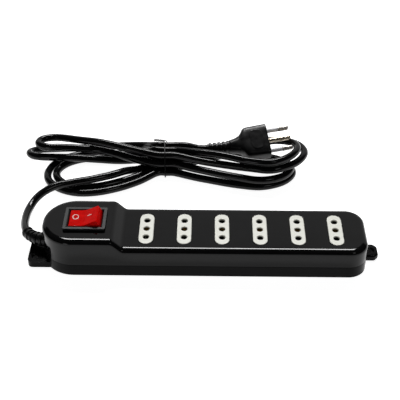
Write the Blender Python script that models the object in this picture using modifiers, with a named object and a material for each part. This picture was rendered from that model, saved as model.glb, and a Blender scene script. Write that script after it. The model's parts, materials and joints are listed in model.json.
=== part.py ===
"""Switched six-way socket strip for type L plugs, with its mains cord coiled and tied.

Frame: origin in the middle of the strip's underside, +X along the strip away from the
cord, +Y towards the coiled cord, +Z up.  Metres; MM turns millimetres into metres.
"""
import math

import bmesh
import bpy
import numpy as np
from mathutils import Matrix, Vector

MM = 0.001
GAP = 0.3
SIDEWAYS = Matrix.Rotation(math.radians(90), 4, "X")
OUTWARD = Matrix.Rotation(math.radians(90), 4, "Y")

# Strip housing
STRIP_END = 120
STRIP_HALF_WIDTH = 25.5
CORD_END_CORNER = 24
FAR_END_CORNER = 14
SOCKET_TOP = 24
DECK_TOP = 31.5
SLOPE_START = -67.3
EDGE_ROUND = 4
WALL = 2.2
TONGUE_INSET = WALL + GAP
TONGUE_WALL = 1.2
TONGUE_TOP = 11.8
PARTING = 9.5

# Mounting ears
CORD_EAR_END = -131.5
CORD_EAR_HALF_WIDTH = 17.3
CORD_EAR_CORNER = 4
CORD_EAR_ROOT = -112
FAR_EAR_END = 130.6
FAR_EAR_HALF_WIDTH = 7.25
EAR_THICKNESS = 5
EAR_HOLE_RADIUS = 2.25
CORD_EAR_HOLE = (-126.2, -10.5)
FAR_EAR_HOLE = (125, 0)

# Housing screws
SCREW_PLACES = [(x, side * y) for x, y in ((-106, 15), (-1, 18.5), (110, 14)) for side in (-1, 1)]
POST_RADIUS = 3.2
PILOT_RADIUS = 1.4
SCREW_RADIUS = 1.25
SCREW_TIP = 16
HEAD_RADIUS = 3
HEAD_LOW = 0.8
HEAD_TOP = 2.8
COUNTERBORE_TOP = 3.1
LOWER_BOSS_TOP = 6

# Sockets
SOCKET_XS = [-43 + 28 * i for i in range(6)]
PIN_PITCH = 9.5
INSERT_LENGTH = 34.5
INSERT_WIDTH = 10.5
INSERT_TOP = 24.1
INSERT_BOTTOM = 13.5
INSERT_FLANGE = 1.5
INSERT_HOLE_RADIUS = 2.3
BAR_LOW = 4.4
BAR_THICKNESS = 0.6
BAR_WIDTH = 6
BAR_ENDS = (-57, 104)
BAR_REST_XS = [-29, 27, 83]
BAR_REST_HALF_WIDTH = 13.2
INSERT_REST_Y = 15.6
CLIP_LEAF = 0.6
CLIP_GAP = 4.3
CLIP_TOP = 13.2

# Rocker switch
SWITCH_X = -88
BEZEL_LENGTH = 31
BEZEL_WIDTH = 25.3
BEZEL_LOW = DECK_TOP + GAP
BEZEL_TOP = 33.6
SWITCH_BODY_LENGTH = 27.6
SWITCH_BODY_WIDTH = 21.6
SWITCH_BODY_LOW = 12
SWITCH_FLOOR = 13.6
SWITCH_OPENING_LENGTH = 25
SWITCH_OPENING_WIDTH = 19.4
PIVOT_Z = 30.4
ROCKER_THROW = math.radians(13)
BLADE_THROW = math.radians(6)
ROCKER_END_RADIUS = 12.2
ROCKER_HALF_WIDTH = 9.4
ROCKER_VALLEY = 3.2
ROCKER_BASE = -4.2
ROCKER_WALL = 2
PIVOT_RADIUS = 1.4
POLES = {1: -5, 2: 5}
STEM_RADIUS = 2.2
STEM_BORE = 1.5
STEM_LOW = -7.5
PLUNGER_RADIUS = 1.1
PLUNGER_TIP = -12
PLUNGER_TOP = -6.2
SPRING_RADIUS = 1.0
SPRING_WIRE = 0.18
SPRING_TURNS = 4
BLADE_LOW = 17.3
BLADE_THICKNESS = 0.8
BLADE_HALF_LENGTH = 8
BLADE_WIDTH = 4
CONTACT_X = -6.5
CONTACT_RADIUS = 1.3
TAB_THICKNESS = 0.8
TAB_WIDTH = 4.8
TAB_LOW = 4.6
TAB_EDGE = 7.8
LOAD_X = SWITCH_X + CONTACT_X - 1.5
LAMP_Z = 21
LAMP_RADIUS = 1.9
LAMP_ENDS = (-92.8, -84)
RESISTOR_X = -80
RESISTOR_Z = 17.5
LEAD_RADIUS = 0.25
VARISTOR_CENTRE = (-66, 0, 15)

# Cord, core wires and strain relief
CORD_DIAMETER = 6.4
CORD_STEP = 5
CORD_SAG = 0.24
CORD_LONGEST_STEP = 14
CORD_INNER_END = -108
CORD_HEIGHT = 12.5
CORE_RADIUS = 1.2
STRAIN_RELIEF_BORE = CORD_DIAMETER / 2 + GAP
STRAIN_RELIEF_NECK = 5.4
WALL_HOLE_RADIUS = STRAIN_RELIEF_NECK + GAP
STRAIN_RELIEF_FLANGE = 7.4
STRAIN_RELIEF_START = -114.4
STRAIN_RELIEF_STATIONS = 27

# Coil of cord and its tie
CORD_PITCH = 7.1
CORD_SPACING = 7.3
TIE_X = -33.5
TIE_LIFT = 1.35
TIE_WIRE = 0.45
TIE_CLEARANCE = 0.35
TWIST_LENGTH = 9
TWIST_TURNS = 3
TWIST_RADIUS = 0.62
FIRST_PASS_Y = 97.6
CORD_FLOOR = CORD_DIAMETER / 2 + 0.05
ROW_RISE = CORD_PITCH * math.sqrt(3) / 2

# Plug
PLUG_FACE = np.array([52.6, 117.3, 24.0])
PLUG_AZIMUTH = math.radians(9)
PLUG_RISE = math.radians(5.5)
PLUG_ROLL = math.radians(27)
PLUG_LENGTH = 52
PLUG_STATIONS = [0, 19, 23, 28, 33, 52]
PLUG_HALF_WIDTHS = [14.6, 14, 8.6, 6.4, 5.4, 4.4]
PLUG_HALF_THICKNESSES = [6.8, 7.1, 6.6, 6.1, 5.4, 4.4]
TAIL_BEND_FROM = 28
TAIL_BEND = 3
CORD_END_IN_PLUG = 30
PIN_LENGTH = 19
PIN_RADIUS = 2
PIN_INSIDE = 9
SLEEVE_LENGTH = 10
SLEEVE_BORE = 1.7
SLEEVED_PIN_RADIUS = 1.4
BRIDGE_DEPTH = 12
BRIDGE_HALF_WIDTH = 12.5
BRIDGE_HALF_THICKNESS = 4
FAN_DEPTH = 18.5
FAN_HALF_WIDTH = 11.5
FAN_HALF_THICKNESS = 2.2

# Guide points of the cord in millimetres, in the order the cord is laid.
LEAD_IN = [
    (CORD_INNER_END, 0, CORD_HEIGHT), (-115, 0, CORD_HEIGHT), (-122, 0.3, CORD_HEIGHT),
    (-130.5, 4.5, 12.2), (-136.5, 14, 10.5), (-140, 30, 7), (-139.3, 47, 5.5),
    (-133.5, 60, 7.5), (-122, 69, 9.9), (-108, 74, 9.9), (-93, 78.2, 9.9), (-78, 84, 9.9),
    (-67, 91.5, 8.8), (-56, 101.5, 4.5),
]
RIGHT_LOW = [
    (-8, 119, 3.3), (20, 124.5, 3.3), (48, 121, 3.3), (66, 113, 3.3), (73, 101, 3.3),
    (66, 88.6, 3.3), (47.5, 80.6, 3.3), (28, 82.5, 3.3), (-4, 91.5, 3.3),
]
LEFT_OUTER_FLOOR = [
    (-56, 87, 3.3), (-72, 77.5, 3.3), (-90, 71.2, 3.3), (-106, 70.5, 3.3), (-120, 76, 3.3),
    (-130, 87, 3.3), (-131.5, 99, 3.3), (-126, 112, 3.3), (-114, 121, 3.3),
    (-98, 125.5, 3.3), (-78, 125, 3.5), (-55, 120, 6),
]
RIGHT_SECOND = [
    (-8, 118.2, 9.9), (20, 119, 9.9), (44, 117, 9.9), (63, 110, 9.9), (71.5, 99.5, 9.9),
    (65, 87, 9.9), (47, 80, 9.9), (25, 84, 9.9), (-6, 94.5, 9.6),
]
LEFT_TOP = [
    (-62, 107, 11.5), (-88, 116, 13), (-108, 117, 15), (-122, 115, 17), (-133, 114.5, 17.3),
    (-140.3, 117.5, 17.3), (-142, 123, 17), (-138, 128, 16.5), (-128, 129.5, 16.5),
    (-106, 122.5, 18), (-89, 117, 19), (-63, 108.5, 18.5),
]
RIGHT_OUTER_HIGH = [
    (2, 97.6, 15.6), (36, 89, 16), (56, 85.8, 16.2), (75, 95.5, 16.2), (83, 110.5, 16.2),
    (78, 123.5, 15.6), (64, 131, 14.3), (46, 134.5, 11), (24, 130.5, 9.9), (7, 124.5, 9.9),
    (-7, 113.5, 8.5),
]
LEFT_INNER_FLOOR = [
    (-56, 94.5, 3.3), (-72, 85.5, 3.3), (-90, 79, 3.3), (-105, 77.6, 3.3), (-117, 83, 3.3),
    (-124, 92, 3.3), (-124.5, 101, 3.3), (-118, 111, 3.3), (-106, 117, 3.3),
    (-88, 118.3, 3.3), (-65, 117, 5.5), (-50, 114, 10.5),
]
RIGHT_INNER_HIGH = [
    (-12, 106.5, 19), (2, 103, 21), (16, 97.5, 22), (36.5, 89, 22.3), (54.4, 86.6, 22.5),
    (69.8, 96, 22.5), (76.3, 109.5, 21.5), (73, 120, 19.8), (62, 126, 18), (47, 127.5, 15.5),
    (28, 123.5, 12), (8, 115.5, 11.5), (-12, 110, 10.5),
]
LEFT_LONG = [
    (-60, 110, 9.9), (-85, 110.5, 9.9), (-108, 110.5, 9.9), (-128, 110.5, 9.9),
    (-144, 113, 9), (-151, 120, 7.5), (-146, 128, 5), (-130, 132.5, 3.4),
    (-104, 134.5, 3.3), (-76, 137.5, 3.4), (-54, 132, 8),
]
BEFORE_PLUG = (-17, 118.6, 17.2)
# Row and place of each pass through the tie: rows stack upwards, places run towards +Y.
TIE_PASSES = [(0, 2), (0, 0), (1, 2), (1, 0), (2, 0), (0, 1), (2, 1), (1, 1), (2, 2)]
TIE_PASS_HALF_LENGTH = 7


# ---------------------------------------------------------------- scene and materials

def clear_scene():
    for obj in list(bpy.data.objects):
        bpy.data.objects.remove(obj, do_unlink=True)


def new_collection(name):
    collection = bpy.data.collections.new(name)
    bpy.context.scene.collection.children.link(collection)
    return collection


def make_material(name, colour, roughness, metallic=0.0):
    material = bpy.data.materials.new(name)
    material.use_nodes = True
    shader = material.node_tree.nodes["Principled BSDF"]
    shader.inputs["Base Color"].default_value = (*colour, 1)
    shader.inputs["Roughness"].default_value = roughness
    shader.inputs["Metallic"].default_value = metallic
    return material


# ---------------------------------------------------------------- shapes in millimetres

def add_box(bm, low, high):
    low, high = Vector(low), Vector(high)
    place = Matrix.Translation((low + high) / 2) @ Matrix.Diagonal((*(high - low), 1))
    bmesh.ops.create_cube(bm, size=1, matrix=place)


def add_rod(bm, start, end, radius, sides=16, end_radius=None):
    start, end = Vector(start), Vector(end)
    turn = Vector((0, 0, 1)).rotation_difference(end - start).to_matrix().to_4x4()
    place = Matrix.Translation((start + end) / 2) @ turn
    bmesh.ops.create_cone(bm, cap_ends=True, segments=sides, radius1=radius,
                          radius2=radius if end_radius is None else end_radius,
                          depth=(end - start).length, matrix=place)


def mesh_object(name, build, collection, material=None):
    """An object whose mesh is filled in by build(bm), in millimetres."""
    bm = bmesh.new()
    build(bm)
    bmesh.ops.scale(bm, vec=(MM, MM, MM), verts=bm.verts)
    mesh = bpy.data.meshes.new(name)
    bm.to_mesh(mesh)
    bm.free()
    obj = bpy.data.objects.new(name, mesh)
    collection.objects.link(obj)
    if material:
        mesh.materials.append(material)
    return obj


def take_shape(curve_object, name, collection, material=None):
    """The curve object's evaluated shape as a mesh object; the curve is removed."""
    bpy.context.view_layer.update()
    graph = bpy.context.evaluated_depsgraph_get()
    mesh = bpy.data.meshes.new_from_object(curve_object.evaluated_get(graph))
    bm = bmesh.new()
    bm.from_mesh(mesh)
    bmesh.ops.remove_doubles(bm, verts=bm.verts, dist=0.01 * MM)
    bmesh.ops.recalc_face_normals(bm, faces=bm.faces)
    bm.to_mesh(mesh)
    bm.free()
    mesh.materials.clear()
    if material:
        mesh.materials.append(material)
    place = curve_object.matrix_world.copy()
    bpy.data.objects.remove(curve_object)
    obj = bpy.data.objects.new(name, mesh)
    obj.matrix_world = place
    collection.objects.link(obj)
    return obj


def slab(name, outline, low, high, collection, material=None, turn=Matrix()):
    """A flat outline given a thickness from low to high, then turned as a whole."""
    curve = bpy.data.curves.new(name, "CURVE")
    curve.dimensions = "2D"
    curve.fill_mode = "BOTH"
    curve.extrude = (high - low) / 2 * MM
    spline = curve.splines.new("POLY")
    spline.points.add(len(outline) - 1)
    for point, (x, y) in zip(spline.points, outline):
        point.co = (x * MM, y * MM, 0, 1)
    spline.use_cyclic_u = True
    obj = bpy.data.objects.new(name, curve)
    collection.objects.link(obj)
    obj.matrix_world = turn @ Matrix.Translation((0, 0, (low + high) / 2 * MM))
    return take_shape(obj, name, collection, material)


def wire(name, points, radius, collection, material, resolution=2):
    """A round wire through the points, with closed ends."""
    curve = bpy.data.curves.new(name, "CURVE")
    curve.dimensions = "3D"
    curve.bevel_depth = radius * MM
    curve.bevel_resolution = resolution
    curve.use_fill_caps = True
    spline = curve.splines.new("POLY")
    spline.points.add(len(points) - 1)
    for point, place in zip(spline.points, points):
        point.co = (*(Vector(place) * MM), 1)
    obj = bpy.data.objects.new(name, curve)
    collection.objects.link(obj)
    return take_shape(obj, name, collection, material)


def turned(name, profile, place, collection, material, steps=16, closed=False):
    """A profile of (radius, height) pairs, from top to bottom, turned about local Z."""
    mesh = bpy.data.meshes.new(name)
    points = [(radius * MM, 0, height * MM) for radius, height in profile]
    edges = [(i, i + 1) for i in range(len(points) - 1)]
    if closed:
        edges.append((len(points) - 1, 0))
    mesh.from_pydata(points, edges, [])
    mesh.materials.append(material)
    obj = bpy.data.objects.new(name, mesh)
    obj.matrix_world = place
    collection.objects.link(obj)
    screw = obj.modifiers.new("turn", "SCREW")
    screw.steps = steps
    screw.render_steps = steps
    screw.use_merge_vertices = True
    screw.merge_threshold = 0.01 * MM
    return obj


def loft(bm, rings, closed=False):
    """Skin between rings of equal point count: ends capped, or closed into a tube."""
    loops = [[bm.verts.new(point) for point in ring] for ring in rings]
    count = len(loops[0])
    pairs = list(zip(loops, loops[1:]))
    if closed:
        pairs.append((loops[-1], loops[0]))
    for near, far in pairs:
        for i in range(count):
            j = (i + 1) % count
            bm.faces.new((near[i], near[j], far[j], far[i]))
    if not closed:
        bm.faces.new(list(reversed(loops[0])))
        bm.faces.new(loops[-1])
    bmesh.ops.recalc_face_normals(bm, faces=bm.faces)


def combine(obj, tool, operation):
    modifier = obj.modifiers.new(operation.lower() + "_" + tool.name, "BOOLEAN")
    modifier.operation = operation
    modifier.object = tool
    modifier.use_self = True
    tool.hide_render = True
    tool.display_type = "WIRE"


def smooth(obj, degrees=35):
    obj.data.shade_smooth()
    obj.data.set_sharp_from_angle(angle=math.radians(degrees))
    return obj


def arc(cx, cy, radius, start, end, steps):
    """Points on a circle from start to end degrees, both included."""
    angles = [math.radians(start + (end - start) * i / steps) for i in range(steps + 1)]
    return [(cx + radius * math.cos(a), cy + radius * math.sin(a)) for a in angles]


def rounded_plan(x0, x1, half_width, left_radius, right_radius, steps=6):
    """Plan outline with one radius at the left corners and another at the right."""
    left_y = half_width - left_radius
    right_y = half_width - right_radius
    return (arc(x1 - right_radius, -right_y, right_radius, -90, 0, steps)
            + arc(x1 - right_radius, right_y, right_radius, 0, 90, steps)
            + arc(x0 + left_radius, left_y, left_radius, 90, 180, steps)
            + arc(x0 + left_radius, -left_y, left_radius, 180, 270, steps))


def stadium(centre_x, length, width, steps=4):
    """Slot outline, long way along Y, round at both ends."""
    radius = width / 2
    half = length / 2 - radius
    return (arc(centre_x, half, radius, 0, 180, steps)
            + arc(centre_x, -half, radius, 180, 360, steps))


# ---------------------------------------------------------------- strip housing

def strip_plan(inset):
    return rounded_plan(-STRIP_END + inset, STRIP_END - inset, STRIP_HALF_WIDTH - inset,
                        CORD_END_CORNER - inset, FAR_END_CORNER - inset)


def step_tool(name, drop, tools):
    """Cuts the deck down to the socket level, with a 45 degree slope between them."""
    rise = DECK_TOP - SOCKET_TOP
    over = 20
    start = SLOPE_START - drop * math.tan(math.radians(22.5))
    outline = [(start - over, DECK_TOP - drop + over), (start, DECK_TOP - drop),
               (start + rise, SOCKET_TOP - drop), (STRIP_END + over, SOCKET_TOP - drop),
               (STRIP_END + over, DECK_TOP - drop + over)]
    return slab(name, outline, -STRIP_HALF_WIDTH - over, STRIP_HALF_WIDTH + over, tools,
                turn=SIDEWAYS)


def box_tool(name, low, high, tools):
    return mesh_object(name, lambda bm: add_box(bm, low, high), tools)


def rod_tool(name, start, end, radius, sides, tools):
    return mesh_object(name, lambda bm: add_rod(bm, start, end, radius, sides), tools)


def make_upper_housing(parts, tools, material):
    housing = slab("upper_housing", strip_plan(0), PARTING - 6, DECK_TOP, parts, material)
    combine(housing, step_tool("housing_step", 0, tools), "DIFFERENCE")
    bevel = housing.modifiers.new("edge_round", "BEVEL")
    bevel.width = EDGE_ROUND * MM
    bevel.segments = 3
    bevel.limit_method = "ANGLE"
    bevel.angle_limit = math.radians(30)
    cavity = slab("housing_cavity", strip_plan(WALL), PARTING - 8, DECK_TOP - WALL, tools)
    combine(cavity, step_tool("cavity_step", WALL, tools), "DIFFERENCE")
    combine(housing, cavity, "DIFFERENCE")
    below = box_tool("below_parting", (-STRIP_END - 20, -40, PARTING - 20),
                     (STRIP_END + 20, 40, PARTING + GAP / 2), tools)
    combine(housing, below, "DIFFERENCE")
    posts = mesh_object("upper_posts", add_upper_posts, tools)
    combine(housing, posts, "UNION")
    holes = mesh_object("upper_holes", add_upper_holes, tools)
    combine(housing, holes, "DIFFERENCE")
    for i, x in enumerate(SOCKET_XS):
        outline = stadium(x, INSERT_LENGTH + 2 * GAP, INSERT_WIDTH + 2 * GAP)
        slot = slab("socket_slot_%d" % (i + 1), outline, SOCKET_TOP - 2 * WALL,
                    SOCKET_TOP + WALL, tools)
        combine(housing, slot, "DIFFERENCE")
    smooth(housing)
    return housing


def top_at(x):
    return DECK_TOP if x < SLOPE_START else SOCKET_TOP


def add_upper_posts(bm):
    for x, y in SCREW_PLACES:
        add_rod(bm, (x, y, LOWER_BOSS_TOP + GAP), (x, y, top_at(x) - WALL / 2), POST_RADIUS, 12)


def add_upper_holes(bm):
    half_length = SWITCH_BODY_LENGTH / 2 + GAP
    half_width = SWITCH_BODY_WIDTH / 2 + GAP
    add_box(bm, (SWITCH_X - half_length, -half_width, DECK_TOP - 2 * WALL),
            (SWITCH_X + half_length, half_width, DECK_TOP + WALL))
    add_rod(bm, (-STRIP_END - 5, 0, CORD_HEIGHT), (-STRIP_END + 4, 0, CORD_HEIGHT),
            WALL_HOLE_RADIUS, 20)
    for x, y in SCREW_PLACES:
        add_rod(bm, (x, y, PARTING - 8), (x, y, SCREW_TIP + 1), PILOT_RADIUS, 10)


def make_lower_housing(parts, tools, material):
    housing = slab("lower_housing", strip_plan(0), 0, PARTING - GAP / 2, parts, material)
    tongue = slab("tongue", strip_plan(TONGUE_INSET), WALL / 2, TONGUE_TOP, tools)
    combine(housing, tongue, "UNION")
    for name, outline in (("cord_end_ear", cord_end_ear()), ("far_end_ear", far_end_ear())):
        combine(housing, slab(name, outline, 0, EAR_THICKNESS, tools), "UNION")
    cavity = slab("lower_cavity", strip_plan(TONGUE_INSET + TONGUE_WALL), WALL,
                  TONGUE_TOP + WALL, tools)
    combine(housing, cavity, "DIFFERENCE")
    combine(housing, mesh_object("lower_bosses", add_lower_bosses, tools), "UNION")
    combine(housing, mesh_object("lower_holes", add_lower_holes, tools), "DIFFERENCE")
    inner = -STRIP_END + WALL
    notch = rod_tool("flange_notch", (inner, 0, CORD_HEIGHT), (inner + 4, 0, CORD_HEIGHT),
                     STRAIN_RELIEF_FLANGE + GAP, 20, tools)
    combine(housing, notch, "DIFFERENCE")
    smooth(housing)
    return housing


def cord_end_ear():
    return rounded_plan(CORD_EAR_END, CORD_EAR_ROOT, CORD_EAR_HALF_WIDTH, CORD_EAR_CORNER, 0.5, 4)


def far_end_ear():
    inner = STRIP_END - WALL
    cut = 3
    width = FAR_EAR_HALF_WIDTH
    return [(inner, -width), (FAR_EAR_END - cut, -width), (FAR_EAR_END, -width + cut),
            (FAR_EAR_END, width - cut), (FAR_EAR_END - cut, width), (inner, width)]


def add_lower_bosses(bm):
    for x, y in SCREW_PLACES:
        add_rod(bm, (x, y, WALL / 2), (x, y, LOWER_BOSS_TOP), HEAD_RADIUS + 1.6, 12)
    for x in SOCKET_XS:
        for side in (-1, 1):
            add_box(bm, (x - 2.5, side * INSERT_REST_Y - 1.2, WALL / 2),
                    (x + 2.5, side * INSERT_REST_Y + 1.2, INSERT_BOTTOM - GAP))
    for x in BAR_REST_XS:
        add_box(bm, (x - 1, -BAR_REST_HALF_WIDTH, WALL / 2),
                (x + 1, BAR_REST_HALF_WIDTH, BAR_LOW - GAP))


def add_lower_holes(bm):
    for x, y in SCREW_PLACES:
        add_rod(bm, (x, y, -1), (x, y, COUNTERBORE_TOP), HEAD_RADIUS + GAP, 12)
        add_rod(bm, (x, y, COUNTERBORE_TOP - 0.5), (x, y, LOWER_BOSS_TOP + 1),
                PILOT_RADIUS + 0.3, 8)
    for x, y in (CORD_EAR_HOLE, FAR_EAR_HOLE):
        add_rod(bm, (x, y, -1), (x, y, EAR_THICKNESS + 1), EAR_HOLE_RADIUS, 16)
    add_rod(bm, (-STRIP_END - 5, 0, CORD_HEIGHT), (-STRIP_END + 6, 0, CORD_HEIGHT),
            WALL_HOLE_RADIUS, 20)


def make_housing_screws(parts, material):
    profile = [(0, SCREW_TIP), (SCREW_RADIUS * 0.5, SCREW_TIP - 0.4),
               (SCREW_RADIUS, SCREW_TIP - 1.8), (SCREW_RADIUS, HEAD_TOP),
               (HEAD_RADIUS, HEAD_TOP), (HEAD_RADIUS, HEAD_LOW + 0.6),
               (HEAD_RADIUS * 0.7, HEAD_LOW), (0, HEAD_LOW)]
    for i, (x, y) in enumerate(SCREW_PLACES):
        place = Matrix.Translation((x * MM, y * MM, 0))
        screw = turned("housing_screw_%d" % (i + 1), profile, place, parts, material, 10)
        smooth(screw)


# ---------------------------------------------------------------- sockets

def make_socket_inserts(parts, tools, material):
    for i, x in enumerate(SOCKET_XS):
        outline = stadium(x, INSERT_LENGTH, INSERT_WIDTH)
        insert = slab("socket_insert_%d" % (i + 1), outline, INSERT_BOTTOM, INSERT_TOP,
                      parts, material)
        flange = stadium(x, INSERT_LENGTH + 2 * INSERT_FLANGE, INSERT_WIDTH + 2 * INSERT_FLANGE)
        flange_top = SOCKET_TOP - WALL - GAP
        combine(insert, slab("insert_flange_%d" % (i + 1), flange, flange_top - 1.6,
                             flange_top, tools), "UNION")
        holes = mesh_object("insert_holes_%d" % (i + 1), lambda bm: add_pin_holes(bm, x), tools)
        combine(insert, holes, "DIFFERENCE")
        smooth(insert)


def add_pin_holes(bm, x):
    for y in (-PIN_PITCH, 0, PIN_PITCH):
        add_rod(bm, (x, y, INSERT_BOTTOM - 1), (x, y, INSERT_TOP + 1), INSERT_HOLE_RADIUS, 10)


def make_busbars(parts, tools, material):
    for pole, y in (("live", -PIN_PITCH), ("earth", 0), ("neutral", PIN_PITCH)):
        name = pole + "_busbar"
        bar = mesh_object(name, lambda bm: add_box(
            bm, (BAR_ENDS[0], y - BAR_WIDTH / 2, BAR_LOW),
            (BAR_ENDS[1], y + BAR_WIDTH / 2, BAR_LOW + BAR_THICKNESS)), parts, material)
        clips = mesh_object(name + "_clips", lambda bm: add_clips(bm, y), tools)
        combine(bar, clips, "UNION")


def add_clips(bm, y):
    for x in SOCKET_XS:
        for side in (-1, 1):
            middle = y + side * (CLIP_GAP + CLIP_LEAF) / 2
            add_box(bm, (x - 2.5, middle - CLIP_LEAF / 2, BAR_LOW + BAR_THICKNESS / 2),
                    (x + 2.5, middle + CLIP_LEAF / 2, CLIP_TOP))


# ---------------------------------------------------------------- rocker switch

def make_switch_housing(parts, tools, material):
    half = BEZEL_LENGTH / 2
    outline = rounded_plan(SWITCH_X - half, SWITCH_X + half, BEZEL_WIDTH / 2, 1, 1, 2)
    housing = slab("switch_housing", outline, BEZEL_LOW, BEZEL_TOP, parts, material)
    combine(housing, mesh_object("switch_body", add_switch_body, tools), "UNION")
    combine(housing, mesh_object("switch_openings", add_switch_openings, tools), "DIFFERENCE")
    return housing


def add_switch_body(bm):
    add_box(bm, (SWITCH_X - SWITCH_BODY_LENGTH / 2, -SWITCH_BODY_WIDTH / 2, SWITCH_BODY_LOW),
            (SWITCH_X + SWITCH_BODY_LENGTH / 2, SWITCH_BODY_WIDTH / 2, BEZEL_LOW + 0.8))


def add_switch_openings(bm):
    half_length = SWITCH_OPENING_LENGTH / 2
    half_width = SWITCH_OPENING_WIDTH / 2
    add_box(bm, (SWITCH_X - half_length, -half_width, SWITCH_FLOOR),
            (SWITCH_X + half_length, half_width, BEZEL_TOP + 1))
    add_rod(bm, (SWITCH_X, -SWITCH_BODY_WIDTH, PIVOT_Z), (SWITCH_X, SWITCH_BODY_WIDTH, PIVOT_Z),
            PIVOT_RADIUS + GAP, 12)
    for y in POLES.values():
        half_thickness = TAB_THICKNESS / 2 + GAP
        half_width = TAB_WIDTH / 2 + GAP
        for x in (SWITCH_X, LOAD_X):
            add_box(bm, (x - half_thickness, y - half_width, SWITCH_BODY_LOW - 1),
                    (x + half_thickness, y + half_width, SWITCH_FLOOR + 1))


def make_terminals(parts, tools, material):
    """For each pole a bent-over common tab in the middle and a load tab with its contact."""
    for pole, y in POLES.items():
        common = mesh_object("common_terminal_%d" % pole, lambda bm: add_tab(
            bm, SWITCH_X, y, BLADE_LOW - GAP), parts, material)
        seat = SWITCH_FLOOR + GAP
        combine(common, box_tool("common_collar_%d" % pole, (SWITCH_X - 1.5, y - 2.2, seat),
                                 (SWITCH_X + 1.5, y + 2.2, seat + 0.8), tools), "UNION")
        load = mesh_object("load_terminal_%d" % pole, lambda bm: add_tab(
            bm, LOAD_X, y, SWITCH_FLOOR + 0.7), parts, material)
        contact_x = SWITCH_X + CONTACT_X
        combine(load, box_tool("load_contact_%d" % pole, (LOAD_X - 1, y - 2, seat),
                               (contact_x + 2, y + 2, seat + 0.7), tools), "UNION")
        combine(load, rod_tool("load_rivet_%d" % pole, (contact_x, y, seat + 0.3),
                               (contact_x, y, seat + 1.6), CONTACT_RADIUS, 12, tools), "UNION")


def add_tab(bm, x, y, top):
    add_box(bm, (x - TAB_THICKNESS / 2, y - TAB_WIDTH / 2, TAB_LOW),
            (x + TAB_THICKNESS / 2, y + TAB_WIDTH / 2, top))


def pivot_empty(name, z, angle, parts):
    """An empty on a joint's axis, turned from level to the rest position."""
    empty = bpy.data.objects.new(name, None)
    empty.matrix_world = (Matrix.Translation((SWITCH_X * MM, 0, z * MM))
                          @ Matrix.Rotation(angle, 4, "Y"))
    parts.objects.link(empty)
    return empty


def hang(obj, empty):
    """Parents the object, modelled level about the pivot, to the turned empty."""
    obj.parent = empty
    return obj


def rocker_outline():
    """Side view about the pivot: shallow valley on top, round ends, flat base."""
    slope = math.tan(ROCKER_THROW)
    tip = math.degrees(math.asin(ROCKER_VALLEY / ROCKER_END_RADIUS * math.cos(ROCKER_THROW)))
    tip += math.degrees(ROCKER_THROW)
    low = math.degrees(math.asin(ROCKER_BASE / ROCKER_END_RADIUS))
    right = arc(0, 0, ROCKER_END_RADIUS, low, tip, 4)
    left = [(-x, z) for x, z in reversed(right)]
    assert abs(right[-1][1] - ROCKER_VALLEY - right[-1][0] * slope) < 0.01
    return right + [(0, ROCKER_VALLEY)] + left


def make_rocker(parts, tools, empty, material):
    rocker = slab("rocker", rocker_outline(), -ROCKER_HALF_WIDTH, ROCKER_HALF_WIDTH, parts,
                  material, SIDEWAYS)
    combine(rocker, mesh_object("rocker_hollow", add_rocker_hollow, tools), "DIFFERENCE")
    combine(rocker, mesh_object("rocker_stems", add_rocker_stems, tools), "UNION")
    combine(rocker, mesh_object("rocker_bores", add_rocker_bores, tools), "DIFFERENCE")
    hang(rocker, empty)
    for name in ("rocker_hollow", "rocker_stems", "rocker_bores"):
        hang(bpy.data.objects[name], empty)
    smooth(rocker)


def add_rocker_hollow(bm):
    reach = ROCKER_END_RADIUS - ROCKER_WALL - 1
    add_box(bm, (-reach, -ROCKER_HALF_WIDTH + ROCKER_WALL, ROCKER_BASE - 1),
            (reach, ROCKER_HALF_WIDTH - ROCKER_WALL, ROCKER_VALLEY - ROCKER_WALL))


def add_rocker_stems(bm):
    for y in POLES.values():
        add_rod(bm, (0, y, STEM_LOW), (0, y, ROCKER_VALLEY - ROCKER_WALL / 2), STEM_RADIUS, 12)
    reach = SWITCH_BODY_WIDTH / 2 - 0.2
    for side in (-1, 1):
        add_rod(bm, (0, side * (ROCKER_HALF_WIDTH - 0.5), 0), (0, side * reach, 0),
                PIVOT_RADIUS, 12)


def add_rocker_bores(bm):
    for y in POLES.values():
        add_rod(bm, (0, y, STEM_LOW - 1), (0, y, ROCKER_VALLEY - ROCKER_WALL - 1), STEM_BORE, 12)


def make_plungers(parts, empty, material, spring_material):
    shoulder = PLUNGER_TIP + PLUNGER_RADIUS
    tip = [(PLUNGER_RADIUS * math.cos(a), shoulder - PLUNGER_RADIUS * math.sin(a))
           for a in (math.radians(30 * k) for k in range(4))]
    tip[-1] = (0, PLUNGER_TIP)
    profile = [(0, PLUNGER_TOP), (PLUNGER_RADIUS, PLUNGER_TOP)] + tip
    for pole, y in POLES.items():
        place = Matrix.Translation((0, y * MM, 0))
        plunger = turned("plunger_%d" % pole, profile, place, parts, material, 10)
        smooth(hang(plunger, empty))
        spring = wire("plunger_spring_%d" % pole, spring_coil(y), SPRING_WIRE, parts,
                      spring_material, 0)
        hang(spring, empty)


def spring_coil(y):
    """Centre line of the spring between the plunger's top and the end of its bore."""
    low = PLUNGER_TOP + GAP + SPRING_WIRE
    high = ROCKER_VALLEY - ROCKER_WALL - 1 - GAP - SPRING_WIRE
    steps = SPRING_TURNS * 8
    coil = []
    for k in range(steps + 1):
        turn = 2 * math.pi * k / 8
        coil.append((SPRING_RADIUS * math.cos(turn), y + SPRING_RADIUS * math.sin(turn),
                     low + (high - low) * k / steps))
    return coil


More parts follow.
